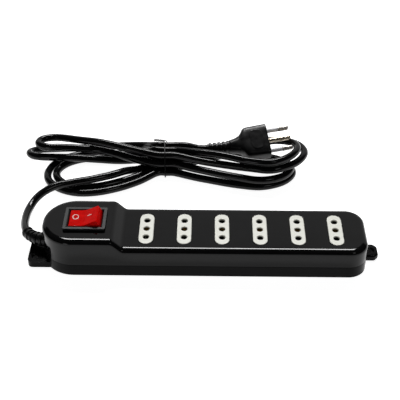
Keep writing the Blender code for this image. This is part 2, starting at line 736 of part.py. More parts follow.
def make_blades(parts, tools, material):
    for pole, y in POLES.items():
        empty = pivot_empty("blade_pivot_%d" % pole, BLADE_LOW, BLADE_THROW, parts)
        blade = mesh_object("contact_blade_%d" % pole, lambda bm: add_box(
            bm, (-BLADE_HALF_LENGTH, y - BLADE_WIDTH / 2, 0),
            (BLADE_HALF_LENGTH, y + BLADE_WIDTH / 2, BLADE_THICKNESS)), parts, material)
        rivet = rod_tool("blade_rivet_%d" % pole, (CONTACT_X, y, -0.8),
                         (CONTACT_X, y, BLADE_THICKNESS / 2), CONTACT_RADIUS, 12, tools)
        combine(blade, rivet, "UNION")
        hang(blade, empty)
        hang(rivet, empty)


def make_lamp(parts, glass, ceramic, metal):
    """Neon indicator lamp under the rocker with its series resistor and lead wires."""
    half = (LAMP_ENDS[1] - LAMP_ENDS[0]) / 2
    bulb = [(0, half), (0.8, half - 0.2), (LAMP_RADIUS, half - 1.6), (LAMP_RADIUS, 0.6 - half),
            (LAMP_RADIUS - 0.6, -half), (0, -half)]
    centre = Matrix.Translation(((LAMP_ENDS[0] + half) * MM, 0, LAMP_Z * MM))
    smooth(turned("neon_lamp", bulb, centre @ OUTWARD, parts, glass, 12))
    body = [(0, 3), (0.8, 3), (1, 2.6), (1, 1.8), (0.85, 1.5), (0.85, -1.5), (1, -1.8),
            (1, -2.6), (0.8, -3), (0, -3)]
    centre = Matrix.Translation((RESISTOR_X * MM, 0, RESISTOR_Z * MM))
    smooth(turned("lamp_resistor", body, centre @ OUTWARD, parts, ceramic, 10))
    left = LAMP_ENDS[0] - GAP - 0.1
    down = [(left, 0, LAMP_Z), (left - 2, 0, LAMP_Z), (left - 3, 0, LAMP_Z - 2),
            (left - 3, 0, LAMP_Z - 5)]
    wire("lamp_lead_1", down, LEAD_RADIUS, parts, metal, 1)
    right = LAMP_ENDS[1] + GAP + 0.1
    bend = RESISTOR_X + 3.8
    across = [(right, 0, LAMP_Z), (bend - 1.8, 0, LAMP_Z), (bend, 0, LAMP_Z - 1),
              (bend, 0, RESISTOR_Z), (bend - 0.5, 0, RESISTOR_Z)]
    wire("lamp_lead_2", across, LEAD_RADIUS, parts, metal, 1)


# ---------------------------------------------------------------- wiring inside the strip

def core_route(side, height, spread):
    """One core from the cut sheath, under the switch, to its common terminal's edge."""
    return [(CORD_INNER_END + GAP, side * 1.7, CORD_HEIGHT - 0.8),
            (CORD_INNER_END + 1.2, side * 1.7, CORD_HEIGHT - 0.8),
            (CORD_INNER_END + 2.7, side * 3, CORD_HEIGHT - 1.4),
            (CORD_INNER_END + 4, side * 6, height + 1), (-101, side * spread, height),
            (SWITCH_X - 4, side * spread, height), (SWITCH_X - 1, side * (spread - 0.6), height),
            (SWITCH_X, side * (TAB_EDGE + 1.1), height), (SWITCH_X, side * TAB_EDGE, height)]


def out_route(side):
    """One link from a load terminal's edge to the start of its busbar."""
    return [(LOAD_X, side * TAB_EDGE, 5.7), (LOAD_X, side * 9.5, 5.3),
            (LOAD_X + 3, side * 13, 4.6), (LOAD_X + 9, side * 14.5, 4.6),
            (-72, side * 14, 4.6), (-64, side * 11.5, 5.2),
            (-59, side * PIN_PITCH, 6.7), (-54, side * PIN_PITCH, 6.7)]


def earth_route():
    """The earth core from the cut sheath, under the switch, to the middle busbar."""
    return [(CORD_INNER_END + GAP, 0, CORD_HEIGHT + 1.6),
            (CORD_INNER_END + 1.4, 0, CORD_HEIGHT + 1.6),
            (CORD_INNER_END + 3, 0, CORD_HEIGHT + 0.6), (-103.6, 0, 9.5), (-101, 0, 6.5),
            (-97, 0, 5.2), (-68, 0, 5.2), (-60, 0, 6.7), (-54, 0, 6.7)]


def make_wiring(parts, brown, blue, green):
    wire("live_core", core_route(-1, 9, 10), CORE_RADIUS, parts, brown)
    wire("neutral_core", core_route(1, 9, 10), CORE_RADIUS, parts, blue)
    wire("switched_live_link", out_route(-1), CORE_RADIUS, parts, brown)
    wire("switched_neutral_link", out_route(1), CORE_RADIUS, parts, blue)
    wire("earth_core", earth_route(), CORE_RADIUS, parts, green)


def make_varistor(parts, tools, material):
    """Disc varistor across live and neutral, between the switch and the first socket."""
    profile = [(0, 1.8), (4.4, 1.8), (5, 1.2), (5, -1.2), (4.4, -1.8), (0, -1.8)]
    x, y, z = VARISTOR_CENTRE
    centre = Matrix.Translation((x * MM, y * MM, z * MM))
    disc = turned("varistor", profile, centre @ OUTWARD, parts, material, 16)
    for number, side in enumerate((-1, 1)):
        lead = [(x, side * 2.5, z - 3), (x, side * 2.5, z - 5.8), (x + 1, side * 3.2, z - 6.6),
                (x + 6, side * 6.1, z - 7.4), (x + 10, side * 6.1, z - 8.6),
                (x + 11, side * 6.1, z - 9.6)]
        tool = wire("varistor_lead_%d" % (number + 1), lead, LEAD_RADIUS + 0.1, tools, None)
        combine(disc, tool, "UNION")
    smooth(disc)


# ---------------------------------------------------------------- cord, coil and plug geometry

def plug_axes():
    """Unit vectors: tail to face, along the pin row, and out of the broad side."""
    along = np.array([math.cos(PLUG_RISE) * math.cos(PLUG_AZIMUTH),
                      math.cos(PLUG_RISE) * math.sin(PLUG_AZIMUTH), math.sin(PLUG_RISE)])
    row = np.array([0, math.cos(PLUG_ROLL), math.sin(PLUG_ROLL)])
    row = row - along * row.dot(along)
    row = row / np.linalg.norm(row)
    return along, row, np.cross(along, row)


def plug_bend(back):
    """How far the tail's centre line is bent towards +Y, this far behind the face."""
    return TAIL_BEND * (np.clip(back - TAIL_BEND_FROM, 0, None) / (PLUG_LENGTH - TAIL_BEND_FROM)) ** 2


def plug_centre(back):
    return PLUG_FACE - plug_axes()[0] * back + np.array([0, plug_bend(back), 0])


def plug_half_size(back):
    return (np.interp(back, PLUG_STATIONS, PLUG_HALF_WIDTHS),
            np.interp(back, PLUG_STATIONS, PLUG_HALF_THICKNESSES))


def tie_pass(row, place, way):
    """The guide points of a straight pass through the tie, towards +X or -X."""
    y = FIRST_PASS_Y + (place + row / 2) * CORD_PITCH
    z = CORD_FLOOR + TIE_LIFT + row * ROW_RISE
    return [(TIE_X + along * TIE_PASS_HALF_LENGTH * way, y, z) for along in (-1, 0, 1)]


def guide_points():
    backs = (PLUG_LENGTH + 7, PLUG_LENGTH, 46, 40, 35, CORD_END_IN_PLUG)
    to_plug = [BEFORE_PLUG] + [tuple(plug_centre(back)) for back in backs]
    loops = [RIGHT_LOW, LEFT_OUTER_FLOOR, RIGHT_SECOND, LEFT_TOP, RIGHT_OUTER_HIGH,
             LEFT_INNER_FLOOR, RIGHT_INNER_HIGH, LEFT_LONG, to_plug]
    points = list(LEAD_IN)
    for number, (place, loop) in enumerate(zip(TIE_PASSES, loops)):
        points += tie_pass(*place, 1 if number % 2 == 0 else -1)
        points += loop
    return np.array(points, float)


def smooth_through(points, steps):
    """Centripetal Catmull-Rom curve through the points."""
    p = np.vstack([2 * points[0] - points[1], points, 2 * points[-1] - points[-2]])
    t = np.concatenate([[0], np.cumsum(np.sqrt(np.linalg.norm(np.diff(p, axis=0), axis=1)))])
    curve = []
    for i in range(1, len(p) - 2):
        for u in np.linspace(t[i], t[i + 1], steps, endpoint=False):
            a = [p[k] + (p[k + 1] - p[k]) * (u - t[k]) / (t[k + 1] - t[k])
                 for k in (i - 1, i, i + 1)]
            b = [a[k] + (a[k + 1] - a[k]) * (u - t[i - 1 + k]) / (t[i + 1 + k] - t[i - 1 + k])
                 for k in (0, 1)]
            curve.append(b[0] + (b[1] - b[0]) * (u - t[i]) / (t[i + 1] - t[i]))
    curve.append(p[-2])
    return np.array(curve)


def spaced(points, step):
    run = np.concatenate([[0], np.cumsum(np.linalg.norm(np.diff(points, axis=0), axis=1))])
    at = np.linspace(0, run[-1], int(round(run[-1] / step)) + 1)
    return np.stack([np.interp(at, run, points[:, k]) for k in range(3)], axis=1)


def push_out_of_plug(points):
    """Push that takes cord points out of the plug, by its nearer side."""
    along, row, thick = plug_axes()
    back = -(points - PLUG_FACE) @ along
    centre = PLUG_FACE - back[:, None] * along
    centre[:, 1] += plug_bend(back)
    half_width, half_thickness = plug_half_size(back)
    across = (points - centre) @ row
    above = (points - centre) @ thick
    room = CORD_DIAMETER / 2 + 0.5
    deep_across = half_width + room - np.abs(across)
    deep_above = half_thickness + room - np.abs(above)
    inside = (back > -3) & (back < PLUG_LENGTH + 3) & (deep_across > 0) & (deep_above > 0)
    by_thick = np.where(inside & (deep_above <= deep_across), deep_above * np.sign(above), 0)
    by_row = np.where(inside & (deep_across < deep_above), deep_across * np.sign(across), 0)
    return 0.5 * (by_thick[:, None] * thick + by_row[:, None] * row)


def settle(points, rounds=260, fixed=9):
    """Moves the turns of cord apart until none runs through another, the plug or the floor."""
    near = int(math.ceil(CORD_SPACING * 1.6 / CORD_STEP))
    index = np.arange(len(points))
    strangers = np.abs(index[:, None] - index[None, :]) > near
    free = np.ones((len(points), 1))
    free[:fixed] = 0
    free[-fixed:] = 0
    free[np.abs(points[:, 0] - TIE_X) < TIE_PASS_HALF_LENGTH - 1] = 0
    shift = np.zeros_like(points)
    for _ in range(rounds):
        now = points + shift
        apart = now[:, None, :] - now[None, :, :]
        distance = np.linalg.norm(apart, axis=2) + 1e-9
        short = np.where(strangers, np.clip(CORD_SPACING - distance, 0, None), 0)
        push = 0.4 * (apart * (short / distance)[:, :, None]).sum(axis=1)
        shift += (push + push_out_of_plug(now)) * free
        bend = (shift[:-2] + shift[2:]) / 2 - shift[1:-1]
        shift[1:-1] += 0.35 * free[1:-1] * bend
        shift[:, 2] = np.maximum(shift[:, 2], CORD_FLOOR - points[:, 2])
    return points + shift


def cord_path():
    return settle(spaced(smooth_through(guide_points(), 8), CORD_STEP))


def thinned(points):
    """Leaves out points where the cord runs nearly straight."""
    kept = [0]
    i = 0
    while i < len(points) - 1:
        best = i + 1
        for j in range(i + 2, len(points)):
            chord = points[j] - points[i]
            length = np.linalg.norm(chord)
            between = points[i + 1:j] - points[i]
            sag = np.linalg.norm(np.cross(between, chord / length), axis=1).max()
            if sag > CORD_SAG or length > CORD_LONGEST_STEP:
                break
            best = j
        kept.append(best)
        i = best
    return points[kept]


def make_cord(parts, path, material):
    points = [tuple(p) for p in thinned(smooth_through(path, 2))]
    smooth(wire("power_cord", points, CORD_DIAMETER / 2, parts, material))


def path_frames(points):
    """Two unit vectors square to the path at each point, turning with it."""
    ahead = np.gradient(points, axis=0)
    ahead /= np.linalg.norm(ahead, axis=1)[:, None]
    up = np.array([0, 0, 1.0])
    side = np.cross(up, ahead)
    side /= np.linalg.norm(side, axis=1)[:, None]
    return side, np.cross(ahead, side)


def strain_relief_radius(k, x):
    """Outer radius at the sleeve's k-th station, which lies at this x."""
    if x > -STRIP_END + WALL + GAP + 1:
        return STRAIN_RELIEF_FLANGE
    if x > -STRIP_END - 1:
        return STRAIN_RELIEF_NECK
    groove = 0.7 if (k // 2) % 2 else 0
    return 6.3 - 0.075 * k - groove


def make_strain_relief(parts, path, material):
    """Ribbed rubber sleeve round the cord, clamped in the wall by its flange."""
    fine = spaced(smooth_through(path[:14], 6), 1.0)
    fine = fine[fine[:, 0] < STRAIN_RELIEF_START][:STRAIN_RELIEF_STATIONS]
    side, up = path_frames(fine)

    def ring(k, radius):
        turns = [2 * math.pi * s / 12 for s in range(12)]
        return [Vector(fine[k] + radius * (math.cos(a) * side[k] + math.sin(a) * up[k]))
                for a in turns]

    def build(bm):
        outer = [ring(k, strain_relief_radius(k, fine[k, 0])) for k in range(len(fine))]
        inner = [ring(k, STRAIN_RELIEF_BORE) for k in range(0, len(fine), 3)]
        loft(bm, outer + list(reversed(inner)), closed=True)

    smooth(mesh_object("strain_relief", build, parts, material))


def tie_loop():
    """Closed outline of the tie round the bundle, as (y, z), from its top corner by +Y."""
    reach = CORD_DIAMETER / 2 + TIE_CLEARANCE + TIE_WIRE
    corners = [(2, 2, -30, 90), (2, 0, 90, 150), (0, 0, 150, 270), (0, 2, 270, 330)]
    outline = []
    for row, place, start, end in corners:
        y, z = tie_pass(row, place, 1)[0][1:]
        outline += arc(y, z, reach, start, end, 5)
    top = outline.index(max(outline, key=lambda p: (round(p[1], 3), p[0])))
    return outline[top:] + outline[:top + 1]


def twisted_ends(base):
    """Centre lines of the tie's two ends, wound round each other away from the base."""
    away = Vector((-0.9, -0.05, 0.12)).normalized()
    side = Vector((0, 1, 0))
    lift = away.cross(side).normalized()
    steps = TWIST_TURNS * 6
    first, last = [], []
    for k in range(1, steps + 1):
        angle = 2 * math.pi * TWIST_TURNS * k / steps
        centre = base + away * (1 + TWIST_LENGTH * k / steps)
        offset = (side * math.cos(angle) + lift * math.sin(angle)) * TWIST_RADIUS
        first.append(tuple(centre + offset))
        last.append(tuple(centre - offset))
    return first, last


def make_twist_tie(parts, material):
    """Covered wire laid once round the bundle, its ends twisted together on top."""
    outline = tie_loop()
    spread = [0.6 * (2 * k / (len(outline) - 1) - 1) for k in range(len(outline))]
    loop = [(TIE_X + shift, y, z) for shift, (y, z) in zip(spread, outline)]
    first, last = twisted_ends(Vector((TIE_X, outline[0][0], outline[0][1] + 2 * TIE_WIRE)))
    points = list(reversed(first)) + loop[1:-1] + last
    smooth(wire("twist_tie", points, TIE_WIRE, parts, material, 1))


# ---------------------------------------------------------------- plug

def plug_ring(back, half_width, half_thickness, roundness, count=20):
    """Rounded section: roundness 1 is an ellipse, smaller is squarer."""
    along, row, thick = plug_axes()
    centre = plug_centre(back)
    ring = []
    for k in range(count):
        angle = 2 * math.pi * (k + 0.5) / count
        c, s = math.cos(angle), math.sin(angle)
        u = half_width * math.copysign(abs(c) ** roundness, c)
        v = half_thickness * math.copysign(abs(s) ** roundness, s)
        ring.append(Vector(centre + row * u + thick * v))
    return ring


def plug_rings():
    rings = [plug_ring(0, 13.9, 6.1, 0.45), plug_ring(0.8, 14.6, 6.8, 0.45)]
    for back, roundness in ((19, 0.5), (21.2, 0.6), (23, 0.75), (28, 0.9), (32, 1)):
        rings.append(plug_ring(back, *plug_half_size(back), roundness))
    back = 33
    while back < PLUG_LENGTH - 1:
        width = plug_half_size(back)[0]
        for step, radius in ((0.2, width), (2.2, width), (2.5, width - 0.8), (3.6, width - 0.8)):
            rings.append(plug_ring(back + step, radius, radius, 1))
        back += 3.8
    rings.append(plug_ring(PLUG_LENGTH, 4.1, 4.1, 1))
    return rings


def plug_matrix():
    """Local frame at the plug's face: X out of the face, Y along the pins, Z broad side."""
    along, row, thick = plug_axes()
    turn = Matrix((along, row, thick)).transposed().to_4x4()
    return Matrix.Translation(Vector(PLUG_FACE) * MM) @ turn


def make_plug_body(parts, tools, material):
    body = mesh_object("plug_body", lambda bm: loft(bm, plug_rings()), parts, material)
    pocket = box_tool("bridge_pocket", (-BRIDGE_DEPTH - GAP, -BRIDGE_HALF_WIDTH - GAP,
                                        -BRIDGE_HALF_THICKNESS - GAP),
                      (2, BRIDGE_HALF_WIDTH + GAP, BRIDGE_HALF_THICKNESS + GAP), tools)
    fan = box_tool("core_fan", (-FAN_DEPTH, -FAN_HALF_WIDTH, -FAN_HALF_THICKNESS),
                   (-BRIDGE_DEPTH, FAN_HALF_WIDTH, FAN_HALF_THICKNESS), tools)
    backs = (14, 20, 26, 31, 35, 39, 43, 47, 51, 56)
    bore = wire("plug_bore", [tuple(plug_centre(b)) for b in backs], CORD_DIAMETER / 2 + GAP,
                tools, None, 4)
    for tool in (pocket, fan, bore):
        if tool is not bore:
            tool.matrix_world = plug_matrix()
        combine(body, tool, "DIFFERENCE")
    smooth(body)


def make_plug_cores(parts, brown, green, blue):
    """The three cores from the cord's cut end to the tails of the pins."""
    cores = (("live", -1, brown), ("earth", 0, green), ("neutral", 1, blue))
    for name, side, material in cores:
        above = -0.8 if side else 1.6
        across = PIN_PITCH * side
        route = [(GAP - CORD_END_IN_PLUG, 1.7 * side, above), (1 - FAN_DEPTH, 1.7 * side, above),
                 (2.4 - FAN_DEPTH, 0.42 * across, 0.5 * above),
                 (3.8 - FAN_DEPTH, 0.85 * across, 0), (5.3 - FAN_DEPTH, across, 0),
                 (-PIN_INSIDE - GAP, across, 0)]
        core = wire("plug_core_" + name, [tuple(plug_matrix() @ (Vector(p) * MM) / MM)
                                          for p in route], CORE_RADIUS, parts, material, 1)
        smooth(core)


def make_bridge(parts, tools, material):
    """Moulded block that holds the three pins in the plug's face."""
    bridge = mesh_object("plug_bridge", lambda bm: add_box(
        bm, (-BRIDGE_DEPTH, -BRIDGE_HALF_WIDTH, -BRIDGE_HALF_THICKNESS),
        (0, BRIDGE_HALF_WIDTH, BRIDGE_HALF_THICKNESS)), parts, material)
    bridge.matrix_world = plug_matrix()
    holes = mesh_object("bridge_holes", add_bridge_holes, tools)
    holes.matrix_world = plug_matrix()
    combine(bridge, holes, "DIFFERENCE")


def add_bridge_holes(bm):
    for y in (-PIN_PITCH, 0, PIN_PITCH):
        add_rod(bm, (-BRIDGE_DEPTH - 1, y, 0), (1, y, 0), PIN_RADIUS + GAP, 14)


def make_plug_pins(parts, plating, earth_plating, sleeve_material):
    tip = [(0, PIN_LENGTH), (1.2, PIN_LENGTH), (PIN_RADIUS, PIN_LENGTH - 1.2)]
    sleeved = tip + [(PIN_RADIUS, SLEEVE_LENGTH + GAP), (SLEEVED_PIN_RADIUS, SLEEVE_LENGTH + GAP),
                     (SLEEVED_PIN_RADIUS, -PIN_INSIDE), (0, -PIN_INSIDE)]
    bare = tip + [(PIN_RADIUS, -PIN_INSIDE), (0, -PIN_INSIDE)]
    sleeve = [(PIN_RADIUS, SLEEVE_LENGTH), (PIN_RADIUS, -3), (SLEEVE_BORE, -3),
              (SLEEVE_BORE, SLEEVE_LENGTH)]
    for name, y in (("live", -PIN_PITCH), ("earth", 0), ("neutral", PIN_PITCH)):
        place = plug_matrix() @ Matrix.Translation((0, y * MM, 0)) @ OUTWARD
        profile = bare if name == "earth" else sleeved
        material = earth_plating if name == "earth" else plating
        smooth(turned("plug_pin_" + name, profile, place, parts, material, 12))
        if name != "earth":
            smooth(turned("pin_sleeve_" + name, sleeve, place, parts, sleeve_material, 12, True))


# ---------------------------------------------------------------- the whole object

def main():
    clear_scene()
    parts = new_collection("surge_protector_strip")
    tools = new_collection("cutters")
    black = make_material("gloss_black_plastic", (0.012, 0.012, 0.013), 0.22)
    black_pvc = make_material("black_cord_pvc", (0.01, 0.01, 0.011), 0.3)
    white = make_material("ivory_plastic", (0.72, 0.72, 0.66), 0.35)
    grey = make_material("dark_grey_nylon", (0.05, 0.055, 0.055), 0.45)
    red = make_material("red_translucent", (0.75, 0.015, 0.01), 0.2)
    brass = make_material("brass", (0.75, 0.56, 0.25), 0.3, 1)
    nickel = make_material("nickel_plate", (0.66, 0.63, 0.58), 0.25, 1)
    steel = make_material("zinc_steel", (0.55, 0.56, 0.58), 0.35, 1)
    glass = make_material("lamp_glass", (0.85, 0.6, 0.5), 0.1)
    ceramic = make_material("resistor_ceramic", (0.7, 0.6, 0.42), 0.5)
    brown = make_material("brown_core", (0.16, 0.06, 0.025), 0.4)
    blue = make_material("blue_core", (0.02, 0.1, 0.45), 0.4)
    green = make_material("green_yellow_core", (0.15, 0.45, 0.05), 0.4)
    varistor_blue = make_material("varistor_epoxy", (0.03, 0.12, 0.5), 0.4)
    sleeve_white = make_material("sleeve_white", (0.8, 0.8, 0.8), 0.35)

    make_lower_housing(parts, tools, black)
    make_upper_housing(parts, tools, black)
    make_housing_screws(parts, steel)
    make_socket_inserts(parts, tools, white)
    make_busbars(parts, tools, brass)
    make_switch_housing(parts, tools, grey)
    make_terminals(parts, tools, brass)
    rocker_pivot = pivot_empty("rocker_pivot", PIVOT_Z, -ROCKER_THROW, parts)
    make_rocker(parts, tools, rocker_pivot, red)
    make_plungers(parts, rocker_pivot, white, steel)
    make_blades(parts, tools, brass)
    make_lamp(parts, glass, ceramic, steel)
    make_wiring(parts, brown, blue, green)
    make_varistor(parts, tools, varistor_blue)

    path = cord_path()
    make_cord(parts, path, black_pvc)
    make_strain_relief(parts, path, black_pvc)
    make_twist_tie(parts, black_pvc)
    make_plug_body(parts, tools, black_pvc)
    make_plug_cores(parts, brown, green, blue)
    make_bridge(parts, tools, grey)
    make_plug_pins(parts, nickel, brass, sleeve_white)


main()
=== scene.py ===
"""Looks for the switched socket strip: shells, cord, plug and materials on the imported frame.

Sizes are millimetres, and MM turns them into metres.  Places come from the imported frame.
+X runs along the strip away from the cord, +Y to the coil, +Z up.
"""
import json
from contextlib import contextmanager
from math import asin, ceil, copysign, cos, degrees, pi, radians, sin, sqrt, tan

import bmesh
import bpy
import numpy as np
from mathutils import Matrix, Vector

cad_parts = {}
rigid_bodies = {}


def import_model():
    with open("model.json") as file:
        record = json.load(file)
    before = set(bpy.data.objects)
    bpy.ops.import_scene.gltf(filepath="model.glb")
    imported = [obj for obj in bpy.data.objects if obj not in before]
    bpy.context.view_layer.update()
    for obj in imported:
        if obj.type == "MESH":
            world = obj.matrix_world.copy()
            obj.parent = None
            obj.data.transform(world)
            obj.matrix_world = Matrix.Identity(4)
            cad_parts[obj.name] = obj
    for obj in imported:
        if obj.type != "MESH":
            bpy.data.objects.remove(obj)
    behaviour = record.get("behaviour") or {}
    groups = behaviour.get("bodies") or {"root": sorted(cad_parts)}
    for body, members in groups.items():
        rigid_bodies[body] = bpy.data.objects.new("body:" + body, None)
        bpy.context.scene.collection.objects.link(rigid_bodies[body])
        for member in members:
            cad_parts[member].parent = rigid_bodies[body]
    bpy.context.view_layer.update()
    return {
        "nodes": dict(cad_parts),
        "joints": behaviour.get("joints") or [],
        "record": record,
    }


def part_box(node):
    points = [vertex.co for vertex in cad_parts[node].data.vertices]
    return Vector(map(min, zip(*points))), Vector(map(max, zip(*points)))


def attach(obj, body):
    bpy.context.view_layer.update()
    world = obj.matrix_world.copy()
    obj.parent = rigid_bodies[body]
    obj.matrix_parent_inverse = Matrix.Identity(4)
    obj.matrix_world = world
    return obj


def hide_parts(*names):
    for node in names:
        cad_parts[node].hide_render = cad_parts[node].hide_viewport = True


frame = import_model()

SCENE = bpy.context.scene
MM = 0.001
WELD = 0.002 * MM
ANYWHERE = 1000
GAP = 0.3
SIDEWAYS = Matrix.Rotation(radians(90), 4, "X")
OUTWARD = Matrix.Rotation(radians(90), 4, "Y")
RECORD = frame["record"]
moved = Matrix.Translation


def box_mm(node):
    low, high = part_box(node)
    return Vector(low) / MM, Vector(high) / MM


def centre_mm(node):
    low, high = box_mm(node)
    return (low + high) / 2


def named(rows, name):
    return next(row for row in rows if row["name"] == name)


# Strip housing
UPPER_HIGH = box_mm("upper_housing")[1]
LOWER_LOW, LOWER_HIGH = box_mm("lower_housing")
STRIP_END = UPPER_HIGH.x
STRIP_HALF_WIDTH = UPPER_HIGH.y
DECK_TOP = UPPER_HIGH.z
PARTING = 9.5
TONGUE_TOP = 11.8
INSERT_LOW, INSERT_HIGH = box_mm("socket_insert_1")
SOCKET_XS = [centre_mm("socket_insert_%d" % k).x for k in range(1, 7)]
SCREW_PLACES = [centre_mm("housing_screw_%d" % k) for k in range(1, 7)]
SOCKET_TOP = INSERT_HIGH.z - 0.1
CORD_END_CORNER = 24
FAR_END_CORNER = 14
CORNER_STEPS = 20
SLOPE_START = -67.3
SLOPE_ANGLE = 45
STEP_BEND = 1.6
EDGE_BREAK = 0.35
EDGE_ROUND = 3.6
CROWN_RADIUS = 9
CROWN_ANGLE = 12
WALL = 2.2
TONGUE_INSET = WALL + GAP
TONGUE_WALL = 1.2
CORD_HEIGHT = 12.5
CORD_HOLE_RADIUS = 5.7
OVERRUN = 5
EAR_THICKNESS = 5
EAR_ROUND = 1.3
EAR_HOLE_RADIUS = 2.25
EAR_HOLES = ((-126.2, -10.5), (125, 0))
CORD_EAR_HALF_WIDTH = 17.3
CORD_EAR_CORNER = 4
CORD_EAR_ROOT = -112
FAR_EAR_HALF_WIDTH = 7.25

# Sockets
INSERT_LENGTH = 34.5
INSERT_WIDTH = 10.5
HOLE_RADIUS = 2.3
HOLE_MOUTH = 0.5
PALE_CAP = 1.1
PIN_PITCH = 9.5
PIN_PLACES = (-PIN_PITCH, 0, PIN_PITCH)

# Switch
PIVOT = Vector(named(frame["joints"], "rocker_tilt")["pos_m"]) / MM
ROCKER_THROW = radians(13)
BEZEL_LOW, BEZEL_HIGH = box_mm("switch_housing")
BEZEL_LENGTH = BEZEL_HIGH.x - BEZEL_LOW.x
BEZEL_WIDTH = BEZEL_HIGH.y - BEZEL_LOW.y
BEZEL_TOP = BEZEL_HIGH.z
BEZEL_THICKNESS = 1.8
SWITCH_CUT_OUT = (14.1, 11.1)
SWITCH_BODY = (13.8, 10.8)
SWITCH_OPENING = (12.5, 9.7)
SWITCH_FLOOR = 13.6
ROCKER_END_RADIUS = 12.2
ROCKER_HALF_WIDTH = 9.4
ROCKER_VALLEY = 3.2
ROCKER_BASE = -4.2
ROCKER_TRIM = 0.3
MARK_SHIFT = 1.2

# Plug
PLUG_MOUNT = named(RECORD["mounts"], "plug_face")
PLUG_AXIS = Vector(PLUG_MOUNT["axis"]).normalized()
PIN_ROW = (centre_mm("plug_pin_neutral") - centre_mm("plug_pin_live")).normalized()
PLUG_SIDE = PLUG_AXIS.cross(PIN_ROW)
PLUG_FACE = Vector(PLUG_MOUNT["pos_m"]) / MM - PIN_ROW * PIN_PITCH / 2
PLUG_LENGTH = 52
TAIL_START = 33
TAIL_RIB_PITCH = 3.8
TAIL_BEND_FROM = 28
TAIL_BEND = 3
PIN_RADIUS = 2
PIN_LENGTH = 19
SLEEVE_LENGTH = 10

# Cord, coil and tie
CORD_DIAMETER = 6.4
CORD_STEP = 5
RELIEF_PITCH = 3.7
RELIEF_START_X = -114.4
RELIEF_STEP = 0.2
RELIEF_SAMPLES = 120
RELIEF_COLLAR_FROM = 22.4
# Radii of the boot inside the housing, in its wall, at its ribs, and at its far collar.
RELIEF_FLANGE, RELIEF_NECK, RELIEF_RIB, RELIEF_COLLAR = 7.3, 5.35, 5.9, 4.55
CORD_INNER_END = -108
CORD_SPACING = 7.3
CORD_PITCH = 7.1
CORD_FLOOR = CORD_DIAMETER / 2 + 0.05
ROW_RISE = CORD_PITCH * sqrt(3) / 2
CORD_END_IN_PLUG = 30
TIE_X = -33.5
TIE_LIFT = 1.35
TIE_WIRE = 0.45
TIE_CLEARANCE = 0.35
FIRST_PASS_Y = 97.6
TIE_PASS_HALF_LENGTH = 7
PLUG_STATIONS = [0, 19, 23, 28, 33, 52]
PLUG_HALF_WIDTHS = [14.6, 14, 8.6, 6.4, 5.4, 4.4]
PLUG_HALF_THICKNESSES = [6.8, 7.1, 6.6, 6.1, 5.4, 4.4]

# Guide points of the cord in millimetres, in the order the cord is laid.
LEAD_IN = [(CORD_INNER_END, 0, CORD_HEIGHT), (-115, 0, CORD_HEIGHT), (-122, 0.3, CORD_HEIGHT),
    (-130.5, 4.5, 12.2), (-136.5, 14, 10.5), (-140, 30, 7), (-139.3, 47, 5.5),
    (-133.5, 60, 7.5), (-122, 69, 9.9), (-108, 74, 9.9), (-93, 78.2, 9.9), (-78, 84, 9.9),
    (-67, 91.5, 8.8), (-56, 101.5, 4.5),
]
# The loop after each pass through the tie, right and left of it in turn.
LOOPS = [[(-8, 119, 3.3), (20, 124.5, 3.3), (48, 121, 3.3), (66, 113, 3.3), (73, 101, 3.3),
     (66, 88.6, 3.3), (47.5, 80.6, 3.3), (28, 82.5, 3.3), (-4, 91.5, 3.3)],
    [(-56, 87, 3.3), (-72, 77.5, 3.3), (-90, 71.2, 3.3), (-106, 70.5, 3.3), (-120, 76, 3.3),
     (-130, 87, 3.3), (-131.5, 99, 3.3), (-126, 112, 3.3), (-114, 121, 3.3), (-98, 125.5, 3.3),
     (-78, 125, 3.5), (-55, 120, 6)],
    [(-8, 118.2, 9.9), (20, 119, 9.9), (44, 117, 9.9), (63, 110, 9.9), (71.5, 99.5, 9.9),
     (65, 87, 9.9), (47, 80, 9.9), (25, 84, 9.9), (-6, 94.5, 9.6)],
    [(-62, 107, 11.5), (-88, 116, 13), (-108, 117, 15), (-122, 115, 17), (-133, 114.5, 17.3),
     (-140.3, 117.5, 17.3), (-142, 123, 17), (-138, 128, 16.5), (-128, 129.5, 16.5),
     (-106, 122.5, 18), (-89, 117, 19), (-63, 108.5, 18.5)],
    [(2, 97.6, 15.6), (36, 89, 16), (56, 85.8, 16.2), (75, 95.5, 16.2), (83, 110.5, 16.2),
     (78, 123.5, 15.6), (64, 131, 14.3), (46, 134.5, 11), (24, 130.5, 9.9), (7, 124.5, 9.9),
     (-7, 113.5, 8.5)],
    [(-56, 94.5, 3.3), (-72, 85.5, 3.3), (-90, 79, 3.3), (-105, 77.6, 3.3), (-117, 83, 3.3),
     (-124, 92, 3.3), (-124.5, 101, 3.3), (-118, 111, 3.3), (-106, 117, 3.3), (-88, 118.3, 3.3),
     (-65, 117, 5.5), (-50, 114, 10.5)],
    [(-12, 106.5, 19), (2, 103, 21), (16, 97.5, 22), (36.5, 89, 22.3), (54.4, 86.6, 22.5),
     (69.8, 96, 22.5), (76.3, 109.5, 21.5), (73, 120, 19.8), (62, 126, 18), (47, 127.5, 15.5),
     (28, 123.5, 12), (8, 115.5, 11.5), (-12, 110, 10.5)],
    [(-60, 110, 9.9), (-85, 110.5, 9.9), (-108, 110.5, 9.9), (-128, 110.5, 9.9), (-144, 113, 9),
     (-151, 120, 7.5), (-146, 128, 5), (-130, 132.5, 3.4), (-104, 134.5, 3.3), (-76, 137.5, 3.4),
     (-54, 132, 8)],
]
BEFORE_PLUG = (-17, 118.6, 17.2)
# Row and place of each pass through the tie: rows stack upwards, places run towards +Y.
TIE_PASSES = [(0, 2), (0, 0), (1, 2), (1, 0), (2, 0), (0, 1), (2, 1), (1, 1), (2, 2)]


